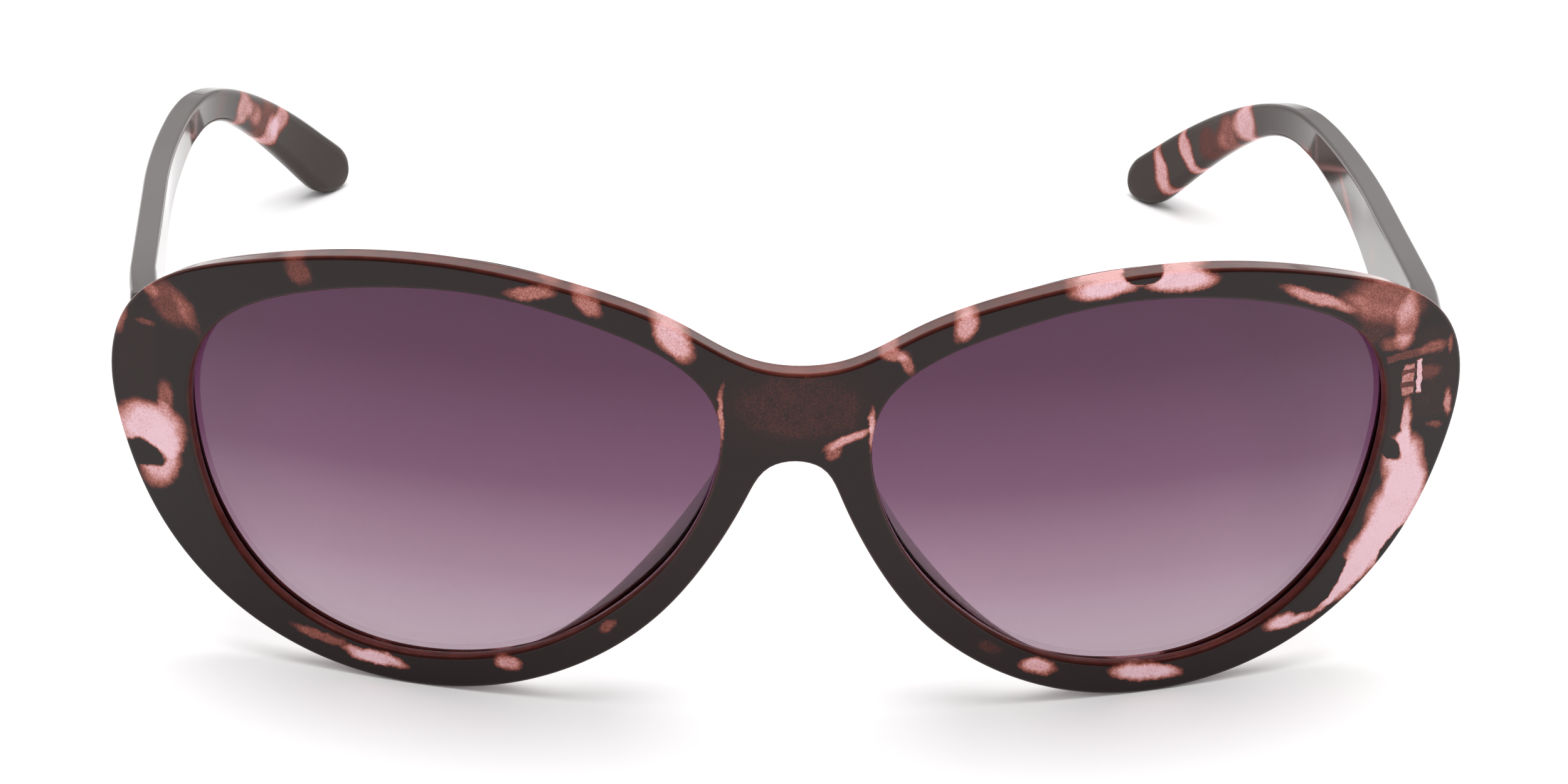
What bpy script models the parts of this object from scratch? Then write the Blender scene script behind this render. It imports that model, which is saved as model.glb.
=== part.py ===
"""Cat eye sunglasses with two folding temples.

The glasses stand open on their rims and temple tips.  Front towards -Y, temples
towards +Y, +Z up, origin under the middle of the glasses on the surface they stand on.
Lengths are in millimetres until a mesh is made, which turns them into metres.
"""

import math

import bmesh
import bpy
import numpy as np
from mathutils import Matrix, Vector

MM = 0.001
GAP = 0.3                     # clearance between pieces that touch

# Front: a flat outline wrapped round an upright cylinder, whose top leans forward
BOW_RADIUS = 145.0
LEAN = math.radians(7.06)
FRONT_Y = -68.22              # where the front face's foot line crosses the middle plane
FRONT_Z = -0.59               # sets the lowest points of the rims on the ground
FRONT_THICKNESS = 3.8
FRONT_FILLET = 0.45
BACK_FILLET = 1.3
WALL_DRAFT = 0.2              # sideways taper of the outer wall per millimetre of depth
GROOVE_FRONT = 1.25
GROOVE_BACK = 3.1
GROOVE_DEPTH = 1.6
BACK_LIP_DROP = 0.9            # how much lower the lip behind the lens stands than the front one
BACK_LIP_EDGE = 0.2
CREST_SPREAD = 0.4             # width kept by the crest's points where there is no nose pad
PAD_DEPTH = 5.3               # how far the nose pads stand behind the back face
PAD_CREST = [(1.75, 0.93), (1.1, 1.0), (0.5, 0.93)]   # inset and share of the pad's height
COLUMN_PITCH = 3.8            # spacing of the rim's cross-sections
FRONT_STEPS = 2               # facets of the front and back rounded edges
BACK_STEPS = 3
FACE_ROW = FRONT_STEPS + 1    # the outline's first profile point, on the front face
BACK_ROW = FACE_ROW + FRONT_STEPS + BACK_STEPS + 1    # its last one, on the back face

# Half outline of the front from the top of the bridge, over the brow, round the
# temple side and the bottom, to the underside of the bridge: (along the bow, up)
OUTLINE = [
    (0.0, 43.75), (5.0, 44.5), (12.45, 48.35), (23.0, 52.05), (36.0, 53.75), (49.1, 52.6),
    (61.25, 49.1), (69.75, 45.0), (75.1, 39.45), (77.05, 32.0), (75.55, 23.5), (70.85, 13.7),
    (62.7, 5.8), (52.55, 1.2), (42.0, -0.2), (31.45, 1.25), (21.9, 5.6), (14.05, 12.4),
    (8.35, 21.0), (5.0, 28.2), (2.7, 32.0), (0.0, 32.8),
]
# Lens opening, from the middle of its nose side, over the top and round
OPENING = [
    (8.1, 34.5), (9.3, 40.0), (13.0, 44.1), (21.0, 47.95), (33.0, 50.5), (45.0, 49.6),
    (56.0, 46.1), (63.4, 41.1), (66.7, 35.0), (66.9, 26.0), (63.8, 16.3), (57.5, 8.7),
    (47.5, 4.2), (37.0, 4.05), (27.5, 6.85), (18.5, 13.3), (12.0, 21.4), (8.9, 29.0),
]
# Places along the outline and along the opening that face each other across the rim
RIBS = [
    (0, 1.0), (2, 2.2), (4, 4.1), (6, 5.9), (7, 7.0), (8, 7.6), (9, 8.4), (10, 9.15),
    (11, 10.0), (12, 10.8), (13, 11.65), (14, 12.55), (15, 13.55), (16, 14.55),
    (17, 15.5), (18, 16.15), (19, 17.0), (20, 17.45), (21, 17.8),
]
BRIDGE_COLUMNS = 4            # cross-sections between the underside and the top of the bridge
PAD_SPAN = (13.9, 17.8)       # stretch of the opening that carries the nose pad

# Lenses
LENS_FRONT = 1.55             # depth of the lens's faces behind the front face
LENS_BACK = 2.8
LENS_REACH = 1.25             # how far the lens's edge stands in the groove
LENS_COLUMNS = 72
LENS_RINGS = 3

# Temples: a strip along a centre line, seen from the side and from above
TEMPLE_START_Y = 17.0         # from the front face's foot line
TEMPLE_START_Z = 34.64
TEMPLE_OUTER_X = 71.8
TEMPLE_SLOPE = math.radians(7.45)
TEMPLE_STRAIGHT = 92.5
BEND_RADIUS = 42.0
BEND_ANGLE = math.radians(45.8)
TEMPLE_LENGTH = 132.9
INWARD_START = 52.5           # the strip runs straight back this far
INWARD_RADIUS = 323.0         # then curves gently in
TIP_CURVE_START = 84.2
TIP_CURVE_RADIUS = 110.5      # and tighter behind the ear
TEMPLE_HEIGHTS = [(0.0, 12.4), (10.0, 11.8), (42.0, 8.5), (72.0, 5.6), (102.0, 4.0), (129.2, 6.7)]
TEMPLE_THICKNESS = 2.85
BUTT_THICKNESS = 3.9          # the mitred end is thicker and stands out a little
BUTT_FLARE = 0.4
BUTT_TRIM = 0.9               # how much of the outside is rounded away at the front end
BUTT_LENGTH = 12.0
TEMPLE_EDGE_RADIUS = 0.4
BUTT_EDGE_RADIUS = 1.2
TEMPLE_STATIONS = 30
TIP_ROUNDING = (20, 40, 58, 74, 86)   # turn of the tip's end at its last sections, in degrees

# Hinges: three barrels on an upright screw
HINGE_X = 66.9
HINGE_Y = 18.2                # from the front face's foot line
HINGE_Z = 33.4
BARREL_RADIUS = 0.85
BARREL_BORE = 0.55
MIDDLE_BARREL = 1.0           # heights of the barrels
OUTER_BARREL = 1.2
BARREL_GAP = 0.1
NECK_WIDTH = 1.0              # between the front plate and its barrels
NECK_INSET = 0.05             # necks and arms are this much lower than their barrels
SCREW_RADIUS = 0.3
SCREW_HEAD_RADIUS = 0.8
SCREW_HEAD_HEIGHT = 0.5
PLATE_THICKNESS = 0.8
PLATE_HEIGHT = 4.4
PLATE_WIDTH = 3.2
PLATE_SINK = 0.15             # how far the front plate lies below the plastic's surface
TEMPLE_PLATE_START = 3.2      # behind the hinge axis
TEMPLE_PLATE_LENGTH = 6.0
TEMPLE_PLATE_HEIGHT = 3.0
TEMPLE_PLATE_PROUD = 0.35     # how far the temple plate stands out of the plastic
ARM_LAP = 0.6                 # how far the arm runs along the temple plate
POCKET_REACH = 1.5            # how far the pocket cutters stand out of the plastic
ARM_SLOT_REACH = 3.0
ROUND_SIDES = 16


def clear_scene():
    """Remove every object that the scene holds."""
    for obj in list(bpy.data.objects):
        bpy.data.objects.remove(obj, do_unlink=True)


def make_material(name, color, roughness, metallic=0.0, alpha=1.0):
    """A Principled material of one colour."""
    material = bpy.data.materials.new(name)
    material.use_nodes = True
    shader = material.node_tree.nodes["Principled BSDF"]
    shader.inputs["Base Color"].default_value = (*color, 1.0)
    shader.inputs["Roughness"].default_value = roughness
    shader.inputs["Metallic"].default_value = metallic
    shader.inputs["Alpha"].default_value = alpha
    return material


class Loop:
    """A smooth closed curve through points; one unit of the parameter per point."""

    def __init__(self, points):
        self.points = np.array(points, float)
        count = len(self.points)
        following = np.roll(self.points, -1, axis=0)
        self.chords = np.linalg.norm(following - self.points, axis=1)
        matrix = np.zeros((count, count))
        right = np.zeros((count, 2))
        for i in range(count):
            before = self.chords[i - 1]
            after = self.chords[i]
            matrix[i, i - 1] += before
            matrix[i, i] += 2.0 * (before + after)
            matrix[i, (i + 1) % count] += after
            rise = (self.points[(i + 1) % count] - self.points[i]) / after
            fall = (self.points[i] - self.points[i - 1]) / before
            right[i] = 6.0 * (rise - fall)
        self.bends = np.linalg.solve(matrix, right)

    def at(self, t):
        """The point at parameter t."""
        count = len(self.points)
        i = int(math.floor(t)) % count
        j = (i + 1) % count
        chord = self.chords[i]
        ahead = (t - math.floor(t)) * chord
        left = chord - ahead
        bend = (self.bends[i] * left ** 3 + self.bends[j] * ahead ** 3) / (6.0 * chord)
        start = (self.points[i] / chord - self.bends[i] * chord / 6.0) * left
        end = (self.points[j] / chord - self.bends[j] * chord / 6.0) * ahead
        return bend + start + end

    def normal(self, t):
        """The unit normal at parameter t, on the left of the way the points run."""
        step = 0.01
        along = self.at(t + step) - self.at(t - step)
        return np.array((-along[1], along[0])) / np.linalg.norm(along)


def front_point(u, w, depth):
    """A point of the bowed, leaning front: u along the bow, w up, depth behind the face."""
    angle = u / BOW_RADIUS
    reach = BOW_RADIUS - depth
    back = BOW_RADIUS - reach * math.cos(angle)
    y = FRONT_Y + back * math.cos(LEAN) - w * math.sin(LEAN)
    z = FRONT_Z + back * math.sin(LEAN) + w * math.cos(LEAN)
    return Vector((reach * math.sin(angle), y, z))


def height_on_front(u, z, depth):
    """The height w on the front that lies at height z."""
    back = BOW_RADIUS - (BOW_RADIUS - depth) * math.cos(u / BOW_RADIUS)
    return (z - FRONT_Z - back * math.sin(LEAN)) / math.cos(LEAN)


def finish_object(name, bm, material, origin=(0.0, 0.0, 0.0), sharp_degrees=35.0):
    """Turn a bmesh in millimetres into a named object in metres about its own origin."""
    bmesh.ops.recalc_face_normals(bm, faces=bm.faces)
    bmesh.ops.translate(bm, vec=-Vector(origin), verts=bm.verts)
    bmesh.ops.scale(bm, vec=(MM, MM, MM), verts=bm.verts)
    mesh = bpy.data.meshes.new(name)
    bm.to_mesh(mesh)
    bm.free()
    mesh.materials.append(material)
    mesh.shade_smooth()
    mesh.set_sharp_from_angle(angle=math.radians(sharp_degrees))
    obj = bpy.data.objects.new(name, mesh)
    obj.location = Vector(origin) * MM
    bpy.context.collection.objects.link(obj)
    bpy.context.view_layer.update()
    return obj


def boolean(obj, cutter, operation):
    """Add an exact Boolean modifier that reads a hidden cutter."""
    modifier = obj.modifiers.new(operation.title(), "BOOLEAN")
    modifier.operation = operation
    modifier.solver = "EXACT"
    modifier.object = cutter
    cutter.hide_render = True
    cutter.display_type = "WIRE"


def mirrored(bm, side):
    """Flip a bmesh made for the +X side when it is wanted on the -X side."""
    if side < 0:
        bmesh.ops.scale(bm, vec=(-1.0, 1.0, 1.0), verts=bm.verts)
        bmesh.ops.reverse_faces(bm, faces=bm.faces)


# ---------------------------------------------------------------- front frame

def quarter_round(radius, steps):
    """Points of a rounded edge from the wall (0, radius) to the face (radius, 0)."""
    points = []
    for k in range(steps + 1):
        theta = math.pi / 2 * k / steps
        points.append((radius - radius * math.cos(theta), radius - radius * math.sin(theta)))
    return points


def rim_profile(pad):
    """Cross-section of the rim: (edge it is measured from, distance in, depth)."""
    thickness = FRONT_THICKNESS
    taper = WALL_DRAFT * (thickness - BACK_FILLET)
    lip = BACK_LIP_DROP * (1.0 - pad / PAD_DEPTH)
    spread = CREST_SPREAD + (1.0 - CREST_SPREAD) * pad / PAD_DEPTH
    rows = [("opening", d, h) for d, h in quarter_round(FRONT_FILLET, FRONT_STEPS)]
    rows += [("outline", d, h) for d, h in reversed(quarter_round(FRONT_FILLET, FRONT_STEPS))]
    rows += [("outline", taper + d, thickness - h) for d, h in quarter_round(BACK_FILLET, BACK_STEPS)]
    rows += [("opening", lip + spread * inset, thickness + share * pad) for inset, share in PAD_CREST]
    rows += [
        ("opening", lip, thickness - BACK_LIP_EDGE),
        ("opening", lip, GROOVE_BACK),
        ("opening", GROOVE_DEPTH, GROOVE_BACK),
        ("opening", GROOVE_DEPTH, GROOVE_FRONT),
        ("opening", 0.0, GROOVE_FRONT),
    ]
    return rows


def pad_depth(t):
    """Height of the nose pad at parameter t of the lens opening."""
    start, end = PAD_SPAN
    share = (t - start) / (end - start)
    if share <= 0.0 or share >= 1.0:
        return 0.0
    return PAD_DEPTH * math.sin(math.pi * share) ** 1.3


def rim_columns(outline, opening):
    """Facing places (outline parameter or None on the middle plane, opening parameter, share)."""
    columns = []
    for (outer_a, inner_a), (outer_b, inner_b) in zip(RIBS, RIBS[1:]):
        span = np.linalg.norm(outline.at(outer_b) - outline.at(outer_a))
        steps = max(2, round(float(span) / COLUMN_PITCH))
        for k in range(steps):
            share = k / steps
            columns.append((outer_a + share * (outer_b - outer_a),
                            inner_a + share * (inner_b - inner_a), 0.0))
    first_outer, first_inner = RIBS[0]
    last_outer, last_inner = RIBS[-1]
    columns.append((last_outer, last_inner, 0.0))
    span = first_inner + len(OPENING) - last_inner
    for k in range(1, BRIDGE_COLUMNS):
        share = k / BRIDGE_COLUMNS
        columns.append((None, last_inner + share * span, share))
    return columns


def build_front():
    """The one-piece front: two rims with lens grooves, the bridge and the nose pads."""
    half = [(u, w) for u, w in OUTLINE]
    other = [(-u, w) for u, w in reversed(OUTLINE[1:-1])]
    outline = Loop(half + other)
    opening = Loop(OPENING)
    columns = rim_columns(outline, opening)
    first, last = RIBS[0][0], RIBS[-1][0]

    def flat_point(column, row, profile):
        """Where a profile point of a column lies before the front is bowed."""
        outer_t, inner_t, share = column
        edge, distance, depth = profile[row]
        if edge == "opening":
            u, w = opening.at(inner_t) + opening.normal(inner_t) * distance
            return u, w, depth
        if outer_t is not None:
            u, w = outline.at(outer_t) - outline.normal(outer_t) * distance
            return u, w, depth
        low = outline.at(last) - outline.normal(last) * distance
        high = outline.at(first) - outline.normal(first) * distance
        return 0.0, low[1] + share * (high[1] - low[1]), depth

    bm = bmesh.new()
    grid = {}
    for side in (1, -1):
        for c, column in enumerate(columns):
            profile = rim_profile(pad_depth(column[1]))
            for row in range(len(profile)):
                if column[0] is None and FACE_ROW < row < BACK_ROW:
                    continue
                u, w, depth = flat_point(column, row, profile)
                if abs(u) < 1e-6 and side < 0:
                    grid[side, c, row] = grid[1, c, row]
                else:
                    grid[side, c, row] = bm.verts.new(front_point(side * u, w, depth))
        rows = len(rim_profile(0.0))
        bridge_start = len(columns) - BRIDGE_COLUMNS
        for c in range(len(columns)):
            following = (c + 1) % len(columns)
            for row in range(rows):
                below = (row + 1) % rows
                if c >= bridge_start and FACE_ROW <= row < BACK_ROW:
                    continue
                corners = [(c, row), (c, below), (following, below), (following, row)]
                if side < 0:
                    corners.reverse()
                bm.faces.new([grid[side, i, j] for i, j in corners])
    material = make_material("front_plastic", (0.10, 0.045, 0.045), 0.12)
    return finish_object("front_frame", bm, material)


# --------------------------------------------------------------------- lenses

def build_lens(side, name, material):
    """A thin shell on the front's bow, its edge standing in the groove."""
    opening = Loop(OPENING)
    edge = []
    for k in range(LENS_COLUMNS):
        t = k * len(OPENING) / LENS_COLUMNS
        edge.append(opening.at(t) + opening.normal(t) * LENS_REACH)
    centre = sum(edge) / len(edge)
    bm = bmesh.new()
    faces_of_lens = []
    for depth in (LENS_FRONT, LENS_BACK):
        rings = []
        for ring in range(LENS_RINGS):
            share = 1.0 - ring / LENS_RINGS
            flat = [centre + (point - centre) * share for point in edge]
            rings.append([bm.verts.new(front_point(u, w, depth)) for u, w in flat])
        middle = bm.verts.new(front_point(centre[0], centre[1], depth))
        faces_of_lens.append((rings, middle))
    for rings, middle in faces_of_lens:
        for k in range(LENS_COLUMNS):
            n = (k + 1) % LENS_COLUMNS
            for outer, inner in zip(rings, rings[1:]):
                bm.faces.new((outer[k], outer[n], inner[n], inner[k]))
            bm.faces.new((rings[-1][k], rings[-1][n], middle))
    front_edge = faces_of_lens[0][0][0]
    back_edge = faces_of_lens[1][0][0]
    for k in range(LENS_COLUMNS):
        n = (k + 1) % LENS_COLUMNS
        bm.faces.new((front_edge[k], back_edge[k], back_edge[n], front_edge[n]))
    mirrored(bm, side)
    return finish_object(name, bm, material)


# -------------------------------------------------------------------- temples

def eased(table, s):
    """Read a table of (place, value) with level ends and smooth steps in between."""
    places = [row[0] for row in table]
    values = [row[1] for row in table]
    if s >= places[-1]:
        return values[-1]
    i = max(k for k in range(len(places) - 1) if places[k] <= s)
    slopes = []
    for k in range(len(places)):
        if k in (0, len(places) - 1):
            near = 0 if k == 0 else k - 1
            slopes.append((values[near + 1] - values[near]) / (places[near + 1] - places[near]))
        else:
            before = (values[k] - values[k - 1]) / (places[k] - places[k - 1])
            after = (values[k + 1] - values[k]) / (places[k + 1] - places[k])
            same_way = before * after > 0.0
            slopes.append(2.0 * before * after / (before + after) if same_way else 0.0)
    width = places[i + 1] - places[i]
    x = (s - places[i]) / width
    from_left = values[i] * (1 + 2 * x) * (1 - x) ** 2 + slopes[i] * width * x * (1 - x) ** 2
    from_right = values[i + 1] * x * x * (3 - 2 * x) + slopes[i + 1] * width * x * x * (x - 1)
    return from_left + from_right


def temple_side_view(s):
    """(how far back, how high, downward angle) of the centre line at length s."""
    straight = min(s, TEMPLE_STRAIGHT)
    back = straight * math.cos(TEMPLE_SLOPE)
    drop = straight * math.sin(TEMPLE_SLOPE)
    turned = min(max(s - TEMPLE_STRAIGHT, 0.0) / BEND_RADIUS, BEND_ANGLE)
    angle = TEMPLE_SLOPE + turned
    back += BEND_RADIUS * (math.sin(angle) - math.sin(TEMPLE_SLOPE))
    drop += BEND_RADIUS * (math.cos(TEMPLE_SLOPE) - math.cos(angle))
    beyond = max(s - TEMPLE_STRAIGHT - BEND_RADIUS * BEND_ANGLE, 0.0)
    back += beyond * math.cos(angle)
    drop += beyond * math.sin(angle)
    return back, TEMPLE_START_Z - drop, angle


def temple_inward(s):
    """(how far the outer face has moved in, its slope) at length s."""
    gentle = max(s - INWARD_START, 0.0)
    tight = max(s - TIP_CURVE_START, 0.0)
    moved = gentle ** 2 / (2 * INWARD_RADIUS) + tight ** 2 / (2 * TIP_CURVE_RADIUS)
    return moved, gentle / INWARD_RADIUS + tight / TIP_CURVE_RADIUS


def butt_y(x, z):
    """The mitred front end of the temple, a gap behind the front's back face."""
    depth = FRONT_THICKNESS + GAP
    angle = math.asin(x / (BOW_RADIUS - depth))
    u = angle * BOW_RADIUS
    return front_point(u, height_on_front(u, z, depth), depth).y


def temple_section(s):
    """The closed cross-section of the right-hand temple at length s."""
    back, height, angle = temple_side_view(s)
    moved, slope = temple_inward(s)
    tip_radius = TEMPLE_HEIGHTS[-1][1] / 2
    into_tip = max(s - (TEMPLE_LENGTH - tip_radius), 0.0)
    rounding = math.sqrt(max(1.0 - (into_tip / tip_radius) ** 2, 0.0))
    butt = max(1.0 - s / BUTT_LENGTH, 0.0)
    trim = BUTT_TRIM * butt ** 2
    full_thickness = TEMPLE_THICKNESS + (BUTT_THICKNESS - TEMPLE_THICKNESS) * butt - trim
    thickness = full_thickness * (0.35 + 0.65 * math.sqrt(rounding))
    half_height = 0.5 * eased(TEMPLE_HEIGHTS, s) * rounding
    outer_x = TEMPLE_OUTER_X + BUTT_FLARE * butt ** 2 - trim - moved
    turn = math.atan(slope)
    inward = Vector((-math.cos(turn), -math.sin(turn), 0.0))
    along = Vector((-math.sin(turn) * math.cos(angle), math.cos(turn) * math.cos(angle),
                    -math.sin(angle)))
    up = along.cross(inward)
    edge = TEMPLE_EDGE_RADIUS + (BUTT_EDGE_RADIUS - TEMPLE_EDGE_RADIUS) * butt
    radius = min(edge, 0.45 * thickness, 0.8 * half_height)
    middle = Vector((outer_x, FRONT_Y + TEMPLE_START_Y + back, height))
    middle += inward * full_thickness / 2
    points = []
    for index, (across, rise) in enumerate(((-1, 1), (1, 1), (1, -1), (-1, -1))):
        for step in range(3):
            theta = math.radians(90 * index + 45 * step)
            a = across * (thickness / 2 - radius) - radius * math.cos(theta)
            b = rise * (half_height - radius) + radius * math.sin(theta)
            points.append(middle + inward * a + up * b)
    return points


def build_temple(side, name, material):
    """One solid moulded temple, from its mitred end to its rounded tip."""
    tip_radius = TEMPLE_HEIGHTS[-1][1] / 2
    round_start = TEMPLE_LENGTH - tip_radius
    stations = [round_start * k / (TEMPLE_STATIONS - 1) for k in range(TEMPLE_STATIONS)]
    stations += [round_start + tip_radius * math.sin(math.radians(d)) for d in TIP_ROUNDING]
    bm = bmesh.new()
    sections = []
    for s in stations:
        points = temple_section(s)
        if s == 0.0:
            points = [Vector((p.x, butt_y(p.x, p.z), p.z)) for p in points]
        sections.append([bm.verts.new(point) for point in points])
    for near, far in zip(sections, sections[1:]):
        for k in range(len(near)):
            n = (k + 1) % len(near)
            bm.faces.new((near[k], near[n], far[n], far[k]))
    bm.faces.new(sections[0])
    bm.faces.new(list(reversed(sections[-1])))
    mirrored(bm, side)
    return finish_object(name, bm, material, hinge_axis(side))


# --------------------------------------------------------------------- hinges

def hinge_axis(side):
    """A point on the upright axis of the hinge on one side."""
    return Vector((side * HINGE_X, FRONT_Y + HINGE_Y, HINGE_Z))


def add_box(bm, low, high, matrix):
    """A box between two corners, placed by a matrix."""
    low = Vector(low)
    high = Vector(high)
    for vert in bmesh.ops.create_cube(bm, size=1.0)["verts"]:
        vert.co = matrix @ ((low + high) / 2 + (high - low) * vert.co)


def add_tube(bm, outer, inner, low, high, matrix):
    """An upright tube about the matrix's origin."""
    rings = []
    for radius, z in ((outer, low), (outer, high), (inner, high), (inner, low)):
        ring = []
        for k in range(ROUND_SIDES):
            theta = 2 * math.pi * k / ROUND_SIDES
            place = Vector((radius * math.cos(theta), radius * math.sin(theta), z))
            ring.append(bm.verts.new(matrix @ place))
        rings.append(ring)
    for near, far in zip(rings, rings[1:] + rings[:1]):
        for k in range(ROUND_SIDES):
            n = (k + 1) % ROUND_SIDES
            bm.faces.new((near[k], near[n], far[n], far[k]))


def hinge_box(name, side, material, low, high, matrix):
    """A box of the hinge, or of a pocket for it, as an object of its own."""
    bm = bmesh.new()
    add_box(bm, low, high, matrix)
    mirrored(bm, side)
    return finish_object(name, bm, material, hinge_axis(side))


def hinge_barrel(name, side, material, low, high):
    """One barrel of the hinge as an object of its own."""
    bm = bmesh.new()
    add_tube(bm, BARREL_RADIUS, BARREL_BORE, low, high, Matrix.Translation(hinge_axis(1)))
    mirrored(bm, side)
    return finish_object(name, bm, material, hinge_axis(side))


def front_plate_frame():
    """Matrix of the front plate: X along the back face, Y out of it, origin on the face."""
    depth = FRONT_THICKNESS
    turn = math.asin(HINGE_X / (BOW_RADIUS - depth))
    u = turn * BOW_RADIUS
    on_face = front_point(u, height_on_front(u, HINGE_Z, depth), depth)
    return Matrix.Translation(on_face) @ Matrix.Rotation(turn, 4, "Z")


def outer_barrels():
    """Heights (low, high) of the front hinge's two barrels about the hinge's middle."""
    near = MIDDLE_BARREL / 2 + BARREL_GAP
    far = near + OUTER_BARREL
    return [(-far, -near), (near, far)]


def build_front_hinge(side, name, material):
    """Plate set in the back of the front, with the outer two barrels."""
    plate = front_plate_frame()
    low = (-PLATE_WIDTH / 2, -PLATE_SINK - PLATE_THICKNESS, -PLATE_HEIGHT / 2)
    high = (PLATE_WIDTH / 2, -PLATE_SINK, PLATE_HEIGHT / 2)
    hinge = hinge_box(name, side, material, low, high, plate)
    axis = plate.inverted() @ hinge_axis(1)
    root = -PLATE_SINK - PLATE_THICKNESS / 2
    for number, (bottom, top) in enumerate(outer_barrels()):
        low = (axis.x - NECK_WIDTH / 2, root, bottom + NECK_INSET)
        high = (axis.x + NECK_WIDTH / 2, axis.y - BARREL_BORE - NECK_INSET, top - NECK_INSET)
        neck = hinge_box(f"{name}_neck_{number}", side, material, low, high, plate)
        boolean(hinge, neck, "UNION")
        barrel = hinge_barrel(f"{name}_barrel_{number}", side, material, bottom, top)
        boolean(hinge, barrel, "UNION")
    return hinge


def temple_face():
    """How far the temple's inner face lies outside the hinge axis."""
    return TEMPLE_OUTER_X - TEMPLE_THICKNESS - HINGE_X


def build_temple_hinge(side, name, material):
    """Plate let into the temple's inner face, with the middle barrel."""
    axis = Matrix.Translation(hinge_axis(1))
    inner = temple_face() - TEMPLE_PLATE_PROUD
    start = TEMPLE_PLATE_START
    tall = TEMPLE_PLATE_HEIGHT / 2
    low = (inner, start, -tall)
    high = (inner + PLATE_THICKNESS, start + TEMPLE_PLATE_LENGTH, tall)
    hinge = hinge_box(name, side, material, low, high, axis)
    half = MIDDLE_BARREL / 2
    low = (BARREL_BORE + 2 * NECK_INSET, -NECK_WIDTH / 4, NECK_INSET - half)
    high = (temple_face(), start + ARM_LAP, half - NECK_INSET)
    arm = hinge_box(f"{name}_arm", side, material, low, high, axis)
    boolean(hinge, arm, "UNION")
    boolean(hinge, hinge_barrel(f"{name}_barrel", side, material, -half, half), "UNION")
    return hinge


def build_screw(side, name, material):
    """The hinge's screw: a shaft through the barrels and a flat head on top."""
    bottom = outer_barrels()[0][0] - BARREL_GAP
    seat = outer_barrels()[1][1] + BARREL_GAP
    top = seat + SCREW_HEAD_HEIGHT
    profile = [
        (0.0, bottom), (SCREW_RADIUS, bottom), (SCREW_RADIUS, seat), (SCREW_HEAD_RADIUS, seat),
        (SCREW_HEAD_RADIUS, seat + SCREW_HEAD_HEIGHT * 0.6), (SCREW_HEAD_RADIUS * 0.7, top),
        (0.0, top),
    ]
    origin = hinge_axis(side)
    bm = bmesh.new()
    verts = [bm.verts.new(origin + Vector((r, 0.0, z))) for r, z in profile]
    edges = [bm.edges.new(pair) for pair in zip(verts, verts[1:])]
    bmesh.ops.spin(bm, geom=verts + edges, cent=origin, axis=(0, 0, 1), angle=2 * math.pi,
                   steps=ROUND_SIDES, use_merge=True)
    bmesh.ops.remove_doubles(bm, verts=bm.verts, dist=MM)
    return finish_object(name, bm, material, origin)


def cut_front_pocket(front, side, material):
    """A pocket in the back of the front for the hinge plate."""
    half = PLATE_WIDTH / 2 + GAP
    tall = PLATE_HEIGHT / 2 + GAP
    low = (-half, -PLATE_SINK - PLATE_THICKNESS - GAP, -tall)
    high = (half, POCKET_REACH, tall)
    pocket = hinge_box(f"front_pocket_{side}", side, material, low, high, front_plate_frame())
    boolean(front, pocket, "DIFFERENCE")


def cut_temple_pocket(temple, side, material):
    """A recess in the temple's inner face for its hinge plate and arm."""
    axis = Matrix.Translation(hinge_axis(1))
    deep = temple_face() - TEMPLE_PLATE_PROUD + PLATE_THICKNESS + GAP
    start = TEMPLE_PLATE_START
    tall = TEMPLE_PLATE_HEIGHT / 2 + GAP
    low = (temple_face() - POCKET_REACH, start - GAP, -tall)
    high = (deep, start + TEMPLE_PLATE_LENGTH + GAP, tall)
    recess = hinge_box(f"temple_recess_{side}", side, material, low, high, axis)
    boolean(temple, recess, "DIFFERENCE")
    tall = MIDDLE_BARREL / 2 + GAP
    low = (temple_face() - POCKET_REACH, -ARM_SLOT_REACH, -tall)
    high = (temple_face() + GAP, start, tall)
    slot = hinge_box(f"arm_slot_{side}", side, material, low, high, axis)
    boolean(temple, slot, "DIFFERENCE")


def build_sunglasses():
    """Every piece of the sunglasses."""
    clear_scene()
    front = build_front()
    metal = make_material("hinge_metal", (0.62, 0.56, 0.50), 0.3, metallic=1.0)
    steel = make_material("screw_steel", (0.7, 0.7, 0.72), 0.25, metallic=1.0)
    tint = make_material("lens_tint", (0.25, 0.12, 0.22), 0.03, alpha=0.6)
    plastic = make_material("temple_plastic", (0.12, 0.06, 0.06), 0.15)
    for side, label in ((-1, "left"), (1, "right")):
        cut_front_pocket(front, side, metal)
        build_lens(side, f"lens_{label}", tint)
        temple = build_temple(side, f"temple_{label}", plastic)
        cut_temple_pocket(temple, side, metal)
        build_front_hinge(side, f"front_hinge_{label}", metal)
        build_temple_hinge(side, f"temple_hinge_{label}", metal)
        build_screw(side, f"hinge_screw_{label}", steel)


build_sunglasses()
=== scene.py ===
"""Looks of the cat eye sunglasses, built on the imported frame.

Shapes are worked out in millimetres and turned into metres when a mesh is made.
The tortoise pattern's patches are placed on the flat outline of the front, and on the
temples as seen from the side.
"""

import math

import bmesh
import bpy
import numpy as np
from mathutils import Euler, Matrix, Vector

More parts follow.
